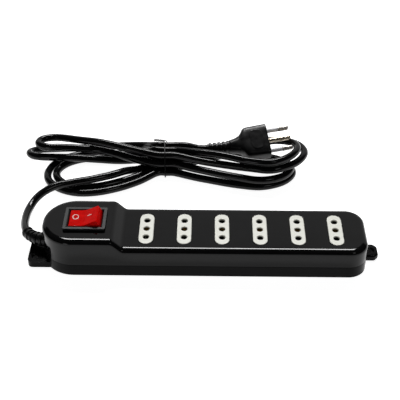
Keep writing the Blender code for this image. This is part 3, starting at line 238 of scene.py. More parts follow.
# Camera and lights: azimuth is clockwise from +Y seen from above, elevation above the floor.
AIM = Vector((-3.8, 35.1, 24))
CAMERA_DISTANCE = 720.3
CAMERA_AZIMUTH = 0.66
CAMERA_ELEVATION = 37.8
CAMERA_ROLL = 0.10
CAMERA_LENS = 83.95
FLOOR_GLOW = 0.95
FLOOR_RADIUS = 9000
FLOOR_GAP = 0.3


# ---- procedural materials

class Shader:
    """A Principled material whose inputs are fed by procedural nodes."""

    def __init__(self, name, specular=0.5, **constants):
        self.material = bpy.data.materials.new(name)
        self.material.use_nodes = True
        tree = self.material.node_tree
        self.nodes, self.links = tree.nodes, tree.links
        self.place = self.nodes.new("ShaderNodeTexCoord").outputs["Object"]
        self.feed(Specular_IOR_Level=specular, **constants)

    def fill(self, node, values):
        """Sets a node's inputs, each to a value or from another node's output."""
        for name, value in values.items():
            socket = node.inputs[name.replace("_", " ")]
            if isinstance(value, bpy.types.NodeSocket):
                self.links.new(value, socket)
            else:
                socket.default_value = value

    def feed(self, **values):
        self.fill(self.nodes["Principled BSDF"], values)

    def add(self, kind, output, **values):
        """The named output of a new node with these inputs."""
        node = self.nodes.new("ShaderNode" + kind)
        self.fill(node, values)
        return node.outputs[output]

    def noise(self, scale, detail=3, stretch=None, roughness=0.5):
        """Noise whose features are about 1 / scale metres across."""
        place = self.place
        if stretch:
            place = self.add("Mapping", "Vector", Vector=place, Scale=stretch)
        return self.add("TexNoise", "Fac", Vector=place, Scale=scale, Detail=detail,
                        Roughness=roughness)

    def spread(self, value, low, high, from_low=0.3, from_high=0.7):
        return self.add("MapRange", "Result", Value=value, From_Min=from_low,
                        From_Max=from_high, To_Min=low, To_Max=high)

    def blend(self, value, first, second):
        node = self.nodes.new("ShaderNodeMix")
        node.data_type = "RGBA"
        self.fill(node, {"Factor": value})
        node.inputs[6].default_value = (*first, 1)
        node.inputs[7].default_value = (*second, 1)
        return node.outputs[2]

    def bumps(self, layers):
        """Stacks bump layers, each (height value, depth in millimetres)."""
        under = {}
        for height, depth in layers:
            under["Normal"] = self.add("Bump", "Normal", Strength=1, Distance=depth * MM,
                                       Height=height, **under)
        self.feed(**under)


def layered(name, noises, tone, rough, bumps=(), specular=0.5, **constants):
    """A material from named noises; tone, rough and bumps say which noise each one follows."""
    shader = Shader(name, specular, **constants)
    layer = {key: shader.noise(*values) for key, values in noises.items()}
    key, dark, light = tone
    shader.feed(Base_Color=shader.blend(shader.spread(layer[key], 0, 1), dark, light))
    key, *span = rough
    shader.feed(Roughness=shader.spread(layer[key], *span))
    shader.bumps([(layer[key], depth) for key, depth in bumps])
    return shader.material


def moulded(name, dark, light, roughness, specular=0.5, grain=0.0008):
    """Injection-moulded plastic: faint flow marks, finger smudges and a very fine grain."""
    noises = {"flow": (70, 4, (1, 2.2, 1)), "smudge": (38, 5, None, 0.62), "fine": (5200, 2),
              "scratch": (420, 3, (1, 14, 6))}
    return layered(name, noises, ("flow", dark, light), ("smudge", *roughness, 0.35, 0.75),
                   (("flow", 0.008), ("scratch", 0.0004), ("fine", grain)), specular)


def cable_jacket(name, roughness, specular):
    """Soft black PVC: waxy bloom, slight lumps from the twisted cores, dust-fine grain."""
    noises = {"lumps": (210, 3), "bloom": (46, 4, None, 0.6), "fine": (3600, 3)}
    return layered(name, noises, ("bloom", (0.0018, 0.0018, 0.0019), (0.0036, 0.0036, 0.0038)),
                   ("lumps", *roughness), (("lumps", 0.012), ("fine", 0.0008)), specular)


def mottled(name, dark, light, mottle=(320, 4), grain=5000, roughness=(0.3, 0.48),
            depths=(0.02, 0.002), specular=0.4, **constants):
    """Plastic whose colour, gloss and bumps follow one mottle, with a finer grain on top."""
    return layered(name, {"mottle": mottle, "grain": (grain, 2)}, ("mottle", dark, light),
                   ("mottle", *roughness), zip(("mottle", "grain"), depths), specular, **constants)


def metal(name, dark, light, roughness, stretch=(1, 12, 12)):
    """Drawn or stamped metal: tone patches and fine marks along the working direction."""
    noises = {"patch": (150, 4, None, 0.6), "marks": (900, 4, stretch, 0.65)}
    return layered(name, noises, ("patch", dark, light), ("marks", *roughness),
                   (("marks", 0.004),), Metallic=1.0)


def banded(name, axis, scale, distortion, edges, first, second, mottle, roughness):
    shader = Shader(name, 0.4)
    wave = shader.nodes.new("ShaderNodeTexWave")
    wave.bands_direction = axis
    shader.fill(wave, {"Vector": shader.place, "Scale": scale, "Distortion": distortion})
    bands = shader.spread(wave.outputs["Fac"], 0, 1, *edges)
    shader.feed(Base_Color=shader.blend(bands, first, second),
                Roughness=shader.spread(shader.noise(mottle), *roughness))
    return shader.material


# Moulded plastics: name, dark and light tone, roughness, specular level, grain depth.
(GLOSS_BLACK, PAINTED_SHADE_LOWER_BLACK, SATIN_GREY, SWITCH_BLACK, PAINTED_SHADE_WELL_BLACK, SLEEVE_WHITE, MARK_WHITE,
 PLUNGER_WHITE, VARISTOR_BLUE, BRIDGE_BLACK) = (moulded(*row) for row in (
    ("gloss_black_plastic", (0.0016, 0.0016, 0.0017), (0.003, 0.003, 0.0032), (0.04, 0.09), 0.17),
    # Painted shade: a darker, less reflective copy of the gloss black, so the lower half reads as
    # shaded.
    ("lower_black_painted_shade_plastic", (0.0014, 0.0014, 0.0015), (0.0026, 0.0026, 0.0028), (0.1, 0.2), 0.07),
    ("satin_grey_nylon", (0.01, 0.0112, 0.0112), (0.015, 0.0166, 0.0166), (0.34, 0.48), 0.14, 0.01),
    ("switch_body_black", (0.004, 0.004, 0.0042), (0.008, 0.008, 0.0084), (0.3, 0.42), 0.25, 0.006),
    # Near-black painted shade for the deep walls of the socket holes.
    ("painted_shade_well_black", (0.006, 0.006, 0.006), (0.012, 0.011, 0.010), (0.45, 0.6), 0.2, 0.01),
    ("pin_sleeve_white", (0.82, 0.82, 0.84), (0.88, 0.88, 0.90), (0.28, 0.4), 0.4, 0.003),
    ("mark_white", (0.62, 0.46, 0.44), (0.74, 0.58, 0.56), (0.3, 0.45), 0.4, 0.002),
    ("plunger_acetal", (0.66, 0.66, 0.62), (0.74, 0.74, 0.70), (0.35, 0.5), 0.5, 0.003),
    ("varistor_epoxy", (0.02, 0.09, 0.38), (0.035, 0.14, 0.5), (0.25, 0.4)),
    ("bridge_nylon", (0.008, 0.008, 0.008), (0.014, 0.014, 0.014), (0.4, 0.55), 0.25, 0.008),
))
CORD_PVC = cable_jacket("black_cord_pvc", (0.1, 0.17), 0.18)
PLUG_PVC = cable_jacket("black_plug_pvc", (0.26, 0.4), 0.22)
TIE_PVC = cable_jacket("tie_sleeve_pvc", (0.3, 0.45), 0.3)
IVORY = mottled("ivory_urea", (0.56, 0.56, 0.50), (0.63, 0.63, 0.565), (160, 5, None, 0.6), 4200,
                (0.32, 0.46), (0.01, 0.003))
# Red polycarbonate lets light into its body.
RED = mottled("red_translucent", (0.40, 0.0016, 0.0012), (0.58, 0.0045, 0.0035),
              (190, 5, (1, 3, 1), 0.6), 3800, (0.06, 0.12), (0.01, 0.002), 0.02,
              Subsurface_Weight=0.12, Subsurface_Scale=0.0015, Subsurface_Radius=(1.0, 0.05, 0.03))
BRASS = metal("stamped_brass", (0.52, 0.36, 0.13), (0.68, 0.5, 0.22), (0.25, 0.42))
PIN_BRASS = metal("polished_earth_pin", (0.46, 0.40, 0.31), (0.60, 0.54, 0.44), (0.16, 0.3))
PIN_NICKEL = metal("nickel_pin", (0.30, 0.28, 0.26), (0.44, 0.42, 0.39), (0.3, 0.45))
ZINC = metal("zinc_steel", (0.44, 0.45, 0.47), (0.6, 0.61, 0.64), (0.28, 0.45), (6, 6, 1))
SPRING_STEEL = metal("spring_steel", (0.4, 0.4, 0.42), (0.55, 0.55, 0.58), (0.2, 0.35))
BROWN_CORE = mottled("brown_core", (0.12, 0.045, 0.018), (0.18, 0.07, 0.03))
BLUE_CORE = mottled("blue_core", (0.015, 0.08, 0.38), (0.025, 0.12, 0.5))
# Green insulation with a yellow stripe along the core, and lacquer with coloured value bands.
EARTH_CORE = banded("green_yellow_core", "Y", 130, 0.4, (0.45, 0.55), (0.05, 0.32, 0.04),
                    (0.72, 0.62, 0.03), 400, (0.3, 0.45))
RESISTOR = banded("resistor_ceramic", "X", 210, 0, (0.78, 0.84), (0.62, 0.5, 0.3),
                  (0.3, 0.05, 0.02), 500, (0.35, 0.5))
LAMP_GLASS = layered("lamp_glass", {"tint": (300, 3)}, ("tint", (0.9, 0.62, 0.5), (0.98, 0.8, 0.7)),
                     ("tint", 0.03, 0.12), Transmission_Weight=0.9, IOR=1.5, specular=0.5)


# ---- shapes in millimetres

CUTTERS = bpy.data.collections.new("cutters")
LOOKS = bpy.data.collections.new("looks")
for group in (CUTTERS, LOOKS):
    SCENE.collection.children.link(group)


@contextmanager
def edited(mesh):
    """The mesh opened for editing, and written back at the end."""
    bm = bmesh.new()
    bm.from_mesh(mesh)
    yield bm
    bm.to_mesh(mesh)
    bm.free()


def put(name, data, material):
    """A new object: a piece if it has a material, otherwise a cutter."""
    obj = bpy.data.objects.new(name, data)
    (LOOKS if material else CUTTERS).objects.link(obj)
    if material:
        data.materials.append(material)
    return obj


def add_box(bm, low, high):
    low, high = Vector(low), Vector(high)
    place = moved((low + high) / 2) @ Matrix.Diagonal((*(high - low), 1))
    bmesh.ops.create_cube(bm, size=1, matrix=place)


def add_rod(bm, start, end, radius, sides, flare=0):
    start, end = Vector(start), Vector(end)
    turn = Vector((0, 0, 1)).rotation_difference(end - start).to_matrix().to_4x4()
    place = moved((start + end) / 2) @ turn
    bmesh.ops.create_cone(bm, cap_ends=True, segments=sides, radius1=radius,
                          radius2=radius + flare, depth=(end - start).length, matrix=place)


def solid(name, build, material=None, place=Matrix()):
    """An object whose mesh is filled in by build(bm), in millimetres."""
    mesh = bpy.data.meshes.new(name)
    with edited(mesh) as bm:
        build(bm)
        bmesh.ops.scale(bm, vec=(MM, MM, MM), verts=bm.verts)
    obj = put(name, mesh, material)
    obj.matrix_world = place
    return obj


def evaluated_mesh(obj):
    bpy.context.view_layer.update()
    graph = bpy.context.evaluated_depsgraph_get()
    return bpy.data.meshes.new_from_object(obj.evaluated_get(graph))


def curve_shape(name, points, material, place, cyclic, **settings):
    """A curve's shape as a welded mesh object; the points are in metres."""
    curve = bpy.data.curves.new(name, "CURVE")
    for setting, value in settings.items():
        setattr(curve, setting, value)
    spline = curve.splines.new("POLY")
    spline.points.add(len(points) - 1)
    for vertex, point in zip(spline.points, points):
        vertex.co = (*point, 1)
    spline.use_cyclic_u = cyclic
    drawn = put(name, curve, material)
    drawn.matrix_world = place
    mesh = evaluated_mesh(drawn)
    with edited(mesh) as bm:
        bmesh.ops.remove_doubles(bm, verts=bm.verts, dist=WELD)
        bmesh.ops.recalc_face_normals(bm, faces=bm.faces)
    mesh.transform(drawn.matrix_world)
    mesh.materials.clear()
    bpy.data.objects.remove(drawn)
    return put(name, mesh, material)


def slab(name, outline, low, high, material=None, turn=Matrix()):
    """A flat outline given a thickness from low to high, then turned as a whole."""
    place = turn @ moved((0, 0, (low + high) / 2 * MM))
    return curve_shape(name, [(x * MM, y * MM, 0) for x, y in outline], material, place, True,
                       dimensions="2D", fill_mode="BOTH", extrude=(high - low) / 2 * MM)


def wire(name, points, radius, material=None, resolution=10):
    return curve_shape(name, [Vector(point) * MM for point in points], material, Matrix(), False,
                       dimensions="3D", bevel_depth=radius * MM, bevel_resolution=resolution,
                       use_fill_caps=True)


def turned(name, profile, place, material, closed=False):
    """A profile of (radius, height) pairs, from top to bottom, turned about local Z."""
    mesh = bpy.data.meshes.new(name)
    points = [(radius * MM, 0, height * MM) for radius, height in profile]
    edges = [(i, i + 1) for i in range(len(points) - 1)]
    if closed:
        edges.append((len(points) - 1, 0))
    mesh.from_pydata(points, edges, [])
    obj = put(name, mesh, material)
    obj.matrix_world = place
    screw = obj.modifiers.new("turn", "SCREW")
    screw.steps = screw.render_steps = 40
    screw.use_merge_vertices = True
    screw.merge_threshold = WELD
    bake(obj)
    return obj


def skin(bm, pairs):
    for near, far in pairs:
        for i, point in enumerate(near):
            j = (i + 1) % len(near)
            bm.faces.new((point, near[j], far[j], far[i]))


def loft(bm, rings, closed=False):
    """Skin between rings of equal point count: ends capped, or closed into a tube."""
    loops = [[bm.verts.new(point) for point in ring] for ring in rings]
    pairs = list(zip(loops, loops[1:]))
    if closed:
        pairs.append((loops[-1], loops[0]))
    skin(bm, pairs)
    if not closed:
        bm.faces.new(list(reversed(loops[0])))
        bm.faces.new(loops[-1])
    bmesh.ops.recalc_face_normals(bm, faces=bm.faces)


def combine(obj, tool, operation="DIFFERENCE"):
    modifier = obj.modifiers.new(operation.lower(), "BOOLEAN")
    modifier.operation = operation
    modifier.object = tool


def cut(obj, name, build, place=Matrix()):
    combine(obj, solid(name, build, None, place))


def cut_box(obj, name, low, high, place=Matrix()):
    cut(obj, name, lambda bm: add_box(bm, low, high), place)


def bake(obj):
    """Makes the object's evaluated shape its mesh, and drops its modifiers and the cutters."""
    mesh = evaluated_mesh(obj)
    obj.modifiers.clear()
    obj.data = mesh
    for tool in list(CUTTERS.objects):
        bpy.data.objects.remove(tool)


def round_edges(obj, chosen, width, segments=3):
    with edited(obj.data) as bm:
        edges = [edge for edge in bm.edges if edge.is_manifold and chosen(edge)]
        bmesh.ops.bevel(bm, geom=edges, offset=width * MM, segments=segments, profile=0.5,
                        affect="EDGES", clamp_overlap=True)


def sharper_than(edge, angle):
    return edge.calc_face_angle(0) >= radians(angle)


def at_height(z, centre_x=0, half_x=ANYWHERE, half_y=ANYWHERE):
    """Picks the sharp edges that lie level at height z, near the middle line at centre_x."""
    def chosen(edge):
        ends = [vert.co / MM for vert in edge.verts]
        return sharper_than(edge, 40) and all(
            abs(end.z - z) <= 0.02 and abs(end.x - centre_x) < half_x and abs(end.y) < half_y
            for end in ends)
    return chosen


def stands_for(obj, slot, *nodes, body="strip", angle=32):
    """Smooth but for sharp edges; rides on the body and hides the CAD nodes it stands for. The slot
    argument is not used.
    """
    obj.data.shade_smooth()
    obj.data.set_sharp_from_angle(angle=radians(angle))
    weighted = obj.modifiers.new("even_normals", "WEIGHTED_NORMAL")
    weighted.keep_sharp = True
    weighted.weight = 50
    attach(obj, body)
    if nodes:
        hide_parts(*nodes)


def arc(cx, cy, radius, start, end, steps):
    angles = [radians(start + (end - start) * i / steps) for i in range(steps + 1)]
    return [(cx + radius * cos(a), cy + radius * sin(a)) for a in angles]


def rounded_plan(x0, x1, half_width, left_radius, right_radius, steps=CORNER_STEPS):
    """Plan outline with one radius at the left corners and another at the right."""
    left_y = half_width - left_radius
    right_y = half_width - right_radius
    return (arc(x1 - right_radius, -right_y, right_radius, -90, 0, steps)
            + arc(x1 - right_radius, right_y, right_radius, 0, 90, steps)
            + arc(x0 + left_radius, left_y, left_radius, 90, 180, steps)
            + arc(x0 + left_radius, -left_y, left_radius, 180, 270, steps))


def stadium(centre_x, length, width, steps=14):
    """Slot outline, long way along Y, round at both ends."""
    radius = width / 2
    half = length / 2 - radius
    return (arc(centre_x, half, radius, 0, 180, steps)
            + arc(centre_x, -half, radius, 180, 360, steps))


# ---- strip housing

def strip_plan(inset):
    return rounded_plan(-STRIP_END + inset, STRIP_END - inset, STRIP_HALF_WIDTH - inset,
                        CORD_END_CORNER - inset, FAR_END_CORNER - inset)


def cavity_step():
    """Cuts the cavity down to the socket level, with a slope between them."""
    deck, socket = DECK_TOP - WALL, SOCKET_TOP - WALL
    over = 20
    start = SLOPE_START - WALL * tan(radians(SLOPE_ANGLE / 2))
    outline = [(start - over, deck + over), (start, deck), (start + (DECK_TOP - SOCKET_TOP), socket),
               (STRIP_END + over, socket), (STRIP_END + over, deck + over)]
    reach = STRIP_HALF_WIDTH + over
    return slab("cavity_step", outline, -reach, reach, turn=SIDEWAYS)


def half_plan(inset):
    """The plan's -Y half, from the cord end to the far end, drawn in by inset."""
    slope_end = SLOPE_START + DECK_TOP - SOCKET_TOP
    margin, spacing, plain = 3, 0.35, [-30, 20, 70]
    side_xs = list(np.arange(SLOPE_START - margin, slope_end + margin, spacing)) + plain
    ends = [arc(x, radius - STRIP_HALF_WIDTH, radius - inset, start, start + 90, CORNER_STEPS)
            for x, radius, start in ((-STRIP_END + CORD_END_CORNER, CORD_END_CORNER, 180),
                                     (STRIP_END - FAR_END_CORNER, FAR_END_CORNER, 270))]
    return ends[0] + [(x, inset - STRIP_HALF_WIDTH) for x in side_xs] + ends[1]


def deck_height(x):
    """Height of the top at x: deck, softened slope, socket level."""
    rise = DECK_TOP - SOCKET_TOP
    spots = np.linspace(x - STEP_BEND, x + STEP_BEND, 9)
    return DECK_TOP - float(np.clip(spots - SLOPE_START, 0, rise).mean())


def edge_profile():
    """The rounded top edge as (inset, drop): a shallow crown, then a tighter quarter-round."""
    crown = radians(CROWN_ANGLE)
    crown_drop = CROWN_RADIUS * (1 - cos(crown))
    profile = []
    for tilt in [*range(90, CROWN_ANGLE, -6), *range(CROWN_ANGLE, -1, -3)]:
        n = radians(tilt)
        if tilt > CROWN_ANGLE:
            profile.append((EDGE_ROUND * (1 - sin(n)),
                            crown_drop + EDGE_ROUND * (cos(crown) - cos(n))))
        else:
            profile.append((EDGE_ROUND * (1 - sin(crown)) + CROWN_RADIUS * (sin(crown) - sin(n)),
                            CROWN_RADIUS * (1 - cos(n))))
    return profile


def add_upper_body(bm):
    """Side walls, a rounded edge all along the top, and the stepped top itself."""
    loops = []
    for inset, drop in [(0, None)] + edge_profile():
        half = [(x, y, PARTING + GAP / 2 if drop is None else deck_height(x) - drop)
                for x, y in half_plan(inset)]
        near = [bm.verts.new(point) for point in half]
        far = [bm.verts.new((x, -y, z)) for x, y, z in half]
        loops.append(near + far[::-1])
    skin(bm, zip(loops, loops[1:]))
    bm.faces.new(loops[0][::-1])
    top = loops[-1]
    count = len(top)
    for i in range(count // 2 - 1):
        bm.faces.new((top[i], top[i + 1], top[count - 2 - i], top[count - 1 - i]))
    bmesh.ops.recalc_face_normals(bm, faces=bm.faces)


def make_upper_housing():
    housing = solid("upper_shell", add_upper_body, GLOSS_BLACK)
    cavity = slab("housing_cavity", strip_plan(WALL), PARTING - 8, DECK_TOP - WALL)
    combine(cavity, cavity_step())
    combine(housing, cavity)
    for x in SOCKET_XS:
        outline = stadium(x, INSERT_LENGTH + 2 * GAP, INSERT_WIDTH + 2 * GAP)
        combine(housing, slab("slot", outline, SOCKET_TOP - 2 * WALL, SOCKET_TOP + WALL))
    cut(housing, "housing_holes", add_housing_holes)
    bake(housing)
    round_edges(housing, at_height(PARTING + GAP / 2), EDGE_BREAK, 2)
    for x in SOCKET_XS:
        round_edges(housing, at_height(SOCKET_TOP, x, 6, 18), 0.22, 2)
    stands_for(housing, "black_housing", "upper_housing")


def add_housing_holes(bm):
    add_box(bm, *round_centre(centre_mm("switch_housing").x, SWITCH_CUT_OUT, DECK_TOP - 2 * WALL,
                              DECK_TOP + WALL))
    add_cord_hole(bm, 4)


def add_cord_hole(bm, depth):
    add_rod(bm, (-STRIP_END - OVERRUN, 0, CORD_HEIGHT), (-STRIP_END + depth, 0, CORD_HEIGHT),
            CORD_HOLE_RADIUS, 48)


def far_end_ear():
    inner = STRIP_END - WALL
    cut = 3
    end, width = LOWER_HIGH.x - 0.05, FAR_EAR_HALF_WIDTH
    return [(inner, -width), (end - cut, -width), (end, -width + cut), (end, width - cut),
            (end - cut, width), (inner, width)]


def make_lower_housing():
    # The lower half takes the darker painted-shade copy of the housing black.
    housing = slab("lower_shell", strip_plan(0), 0, PARTING - GAP / 2, PAINTED_SHADE_LOWER_BLACK)
    round_edges(housing, at_height(0), 1.1, 4)
    round_edges(housing, at_height(PARTING - GAP / 2), EDGE_BREAK, 2)
    combine(housing, slab("tongue", strip_plan(TONGUE_INSET), WALL / 2, TONGUE_TOP), "UNION")
    cord_end_ear = rounded_plan(LOWER_LOW.x, CORD_EAR_ROOT, CORD_EAR_HALF_WIDTH,
                                CORD_EAR_CORNER, 0.5, 10)
    for outline in (cord_end_ear, far_end_ear()):
        ear = slab("ear", outline, 0, EAR_THICKNESS)
        round_edges(ear, lambda edge: sharper_than(edge, 30), EAR_ROUND, 5)
        combine(housing, ear, "UNION")
    combine(housing, slab("lower_cavity", strip_plan(TONGUE_INSET + TONGUE_WALL), WALL,
                          TONGUE_TOP + WALL))
    cut(housing, "lower_holes", add_lower_holes)
    cut(housing, "countersinks", add_countersinks)
    bake(housing)
    stands_for(housing, "black_housing", "lower_housing")


def add_lower_holes(bm):
    for place in SCREW_PLACES:
        add_rod(bm, (place.x, place.y, -1), (place.x, place.y, 1.9), 3.3, 40)
    for x, y in EAR_HOLES:
        add_rod(bm, (x, y, -1), (x, y, EAR_THICKNESS + 1), EAR_HOLE_RADIUS, 40)
    add_cord_hole(bm, 6)


def add_countersinks(bm):
    for x, y in EAR_HOLES:
        add_rod(bm, (x, y, EAR_THICKNESS - 0.8), (x, y, EAR_THICKNESS + 0.2), EAR_HOLE_RADIUS,
                40, 1)


def make_screws():
    """Pan-head screws with a cross recess, seen from below."""
    for number, place in enumerate(SCREW_PLACES):
        node = "housing_screw_%d" % (number + 1)
        low = box_mm(node)[0].z
        profile = [(0, 16), (0.6, 15.6), (1.25, 14.2), (1.25, 1.85), (1.5, 1.6), (2.9, 1.6),
                   (2.98, 1.4), (2.8, low + 0.25), (2.2, low + 0.05), (0, low)]
        move = moved((place.x * MM, place.y * MM, 0))
        screw = turned("screw_head_%d" % (number + 1), profile, move, ZINC)
        turn = move @ Matrix.Rotation(radians(25 + 40 * number), 4, "Z")
        for along in (0, 90):
            cut_box(screw, "recess", (-1.6, -0.32, low - 0.5), (1.6, 0.32, low + 1),
                    turn @ Matrix.Rotation(radians(along), 4, "Z"))
        bake(screw)
        stands_for(screw, "zinc_steel", node)


# ---- sockets

def make_socket_inserts():
    for number, x in enumerate(SOCKET_XS, 1):
        node = "socket_insert_%d" % number
        insert = slab("socket_face_%d" % number, stadium(x, INSERT_LENGTH, INSERT_WIDTH),
                      INSERT_LOW.z, INSERT_HIGH.z, IVORY)
        round_edges(insert, at_height(INSERT_HIGH.z), EDGE_BREAK, 3)
        flange = stadium(x, INSERT_LENGTH + 3, INSERT_WIDTH + 3)
        flange_top = SOCKET_TOP - WALL - GAP
        combine(insert, slab("flange", flange, flange_top - 1.6, flange_top), "UNION")
        top = INSERT_HIGH.z
        cut(insert, "pin_holes", lambda bm: add_pin_holes(bm, x, INSERT_LOW.z - 1, top + 1, 0))
        cut(insert, "pin_hole_mouths",
            lambda bm: add_pin_holes(bm, x, top - EDGE_BREAK, top + 0.15, HOLE_MOUTH))
        bake(insert)
        # Painted shade inside the pin holes, below the pale cap.
        paint_shade_into_wells(insert)
        stands_for(insert, "ivory_insert", node)


def add_pin_holes(bm, x, low, high, flare):
    for y in PIN_PLACES:
        add_rod(bm, (x, y, low), (x, y, high), HOLE_RADIUS, 36, flare)


def paint_shade_into_wells(insert):
    """Painted shade: every face deeper than a thin pale cap, the walls of the pin holes among them,
    takes a near-black material that stands in for the shade inside the holes.
    """
    insert.data.materials.append(PAINTED_SHADE_WELL_BLACK)
    cap_low = INSERT_HIGH.z - PALE_CAP
    with edited(insert.data) as bm:
        bmesh.ops.bisect_plane(bm, geom=bm.verts[:] + bm.edges[:] + bm.faces[:],
                               plane_co=(0, 0, cap_low * MM), plane_no=(0, 0, 1))
        for face in bm.faces:
            if face.calc_center_median().z < (cap_low - 0.01) * MM:
                face.material_index = 1


# ---- rocker switch

def rocker_place():
    """The rocker's own frame: origin on its pivot, turned to the rest position."""
    return moved(PIVOT * MM) @ Matrix.Rotation(-ROCKER_THROW, 4, "Y")


def make_bezel():
    x = centre_mm("switch_housing").x
    half = BEZEL_LENGTH / 2
    outline = rounded_plan(x - half, x + half, BEZEL_WIDTH / 2, 1.4, 1.4, 8)
    bezel = slab("switch_bezel", outline, BEZEL_TOP - BEZEL_THICKNESS, BEZEL_TOP, SATIN_GREY)
    round_edges(bezel, at_height(BEZEL_TOP), 0.4, 4)
    cut_box(bezel, "bezel_opening", *round_centre(x, SWITCH_OPENING, BEZEL_TOP - 4, BEZEL_TOP + 1))
    cut(bezel, "bezel_lip", lambda bm: add_lip(bm, x))
    bake(bezel)
    stands_for(bezel, "switch_black", "switch_housing")
    block = round_centre(x, SWITCH_BODY, BEZEL_LOW.z, BEZEL_TOP - BEZEL_THICKNESS - 0.1)
    body = solid("switch_body", lambda bm: add_box(bm, *block), SWITCH_BLACK)
    cut_box(body, "body_well", *round_centre(x, SWITCH_OPENING, SWITCH_FLOOR, BEZEL_TOP + 1))
    bake(body)
    round_edges(body, at_height(BEZEL_LOW.z), 0.5, 2)
    stands_for(body, "switch_black")


def round_centre(x, half_size, low, high):
    """Low and high corner of a block with these half sizes round the switch's centre."""
    half_x, half_y = half_size
    return (x - half_x, -half_y, low), (x + half_x, half_y, high)


def add_lip(bm, centre_x):
    """Sloping lip round the opening: a frustum that widens upwards."""
    rings = []
    for z, grow in ((BEZEL_TOP - 0.9, -0.05), (BEZEL_TOP + 0.3, 1.1)):
        x, y = (half + grow for half in SWITCH_OPENING)
        rings.append([Vector((centre_x + sx * x, sy * y, z))
                      for sx, sy in ((-1, -1), (1, -1), (1, 1), (-1, 1))])
    loft(bm, rings)


def rocker_outline():
    """Side view about the pivot: rounded valley, round ends, flat base."""
    slope = tan(ROCKER_THROW)
    tip = degrees(asin(ROCKER_VALLEY / ROCKER_END_RADIUS * cos(ROCKER_THROW)))
    tip += degrees(ROCKER_THROW)
    low = degrees(asin(ROCKER_BASE / ROCKER_END_RADIUS))
    right = arc(0, 0, ROCKER_END_RADIUS - ROCKER_TRIM, low, tip, 14)
    left = [(-x, z) for x, z in reversed(right)]
    valley_half = 1.8
    valley = []
    for k in range(9):
        x = valley_half * (1 - k / 4)
        valley.append((x, ROCKER_VALLEY + slope * (valley_half / 2 + x * x / (2 * valley_half))))
    return right + valley + left


def make_rocker():
    rocker = slab("rocker_cap", rocker_outline(), -ROCKER_HALF_WIDTH, ROCKER_HALF_WIDTH, RED,
                  SIDEWAYS)
    round_edges(rocker, is_rocker_rim, 0.7, 4)
    cut_box(rocker, "rocker_hollow", (-9.2, -7.4, ROCKER_BASE - 1), (9.2, 7.4, ROCKER_VALLEY - 2))
    bake(rocker)
    rocker.matrix_world = rocker_place()
    stands_for(rocker, "rocker_red", "rocker", body="rocker")


def is_rocker_rim(edge):
    """Edges round the side faces and at the two tips, but not at the hidden base."""
    return sharper_than(edge, 28) and all(v.co.z / MM > ROCKER_BASE + 0.5 for v in edge.verts)


def oval(half_u, half_v, power, count, start=0.0):
    """Points round an oval: power 1 is an ellipse, a smaller one is squarer."""
    points = []
    for k in range(count):
        angle = 2 * pi * (k + start) / count
        c, s = cos(angle), sin(angle)
        points.append((half_u * copysign(abs(c) ** power, c),
                       half_v * copysign(abs(s) ** power, s)))
    return points


def make_rocker_marks():
    """A raised ring on the rocker's off side, and a bar along X on its on side."""
    half_x, half_y, half_stroke = 2.05, 2.6, 0.3
    section = ((-1, -0.1), (-1, 0.06), (-0.7, 0.12), (0.7, 0.12), (1, 0.06), (1, -0.1))
    layers = [[Vector((x, y, z)) for x, y in oval(half_x + out * half_stroke,
                                                  half_y + out * half_stroke, 1, 48)]
              for out, z in section]
    bar = [[Vector((y * size, x * size, z)) for x, y in stadium(0, 3.6, 0.75, 8)]
           for z, size in ((-0.1, 1), (0.06, 1), (0.12, 0.9))]
    for name, side, x, rings in (("off_mark", -1, -6.3, list(zip(*layers))),
                                 ("on_mark", 1, 4.2, bar)):
        height = ROCKER_VALLEY + abs(x) * tan(ROCKER_THROW)
        place = (rocker_place() @ moved((x * MM, MARK_SHIFT * MM, height * MM))
                 @ Matrix.Rotation(-ROCKER_THROW * side, 4, "Y"))
        mark = solid(name, lambda bm: loft(bm, rings, side < 0), MARK_WHITE, place)
        stands_for(mark, "plunger_white", body="rocker", angle=50)


def make_earth_contacts():
    outer, inner, low, high = 2.2, 2.02, SWITCH_FLOOR, INSERT_HIGH.z - 1.5
    half_slit = 14
    for number, x in enumerate(SOCKET_XS, 1):
        walls = [arc(x, 0, radius, half_slit, 360 - half_slit, 36) for radius in (outer, inner)]
        sleeve = slab("earth_contact_%d" % number, walls[0] + walls[1][::-1], low, high, BRASS)
        stands_for(sleeve, "contact_brass")


# ---- cord, coil and tie

def plug_bend(back):
    """How far the tail's centre line is bent towards +Y, this far behind the face."""
    past = np.clip(back - TAIL_BEND_FROM, 0, None)
    return TAIL_BEND * (past / (PLUG_LENGTH - TAIL_BEND_FROM)) ** 2


def plug_centre(back):
    return np.array(PLUG_FACE) - np.array(PLUG_AXIS) * back + np.array([0, plug_bend(back), 0])


def plug_half_size(back):
    return (np.interp(back, PLUG_STATIONS, PLUG_HALF_WIDTHS),
            np.interp(back, PLUG_STATIONS, PLUG_HALF_THICKNESSES))


def tie_pass(row, place, way):
    """The guide points of a straight pass through the tie, towards +X or -X."""
    y = FIRST_PASS_Y + (place + row / 2) * CORD_PITCH
    z = CORD_FLOOR + TIE_LIFT + row * ROW_RISE
    return [(TIE_X + along * TIE_PASS_HALF_LENGTH * way, y, z) for along in (-1, 0, 1)]


def guide_points():
    backs = (PLUG_LENGTH + 7, PLUG_LENGTH, 46, 40, 35, CORD_END_IN_PLUG)
    to_plug = [BEFORE_PLUG] + [tuple(plug_centre(back)) for back in backs]
    points = list(LEAD_IN)
    for number, (place, loop) in enumerate(zip(TIE_PASSES, LOOPS + [to_plug])):
        points += tie_pass(*place, 1 if number % 2 == 0 else -1)
        points += loop
    return np.array(points, float)


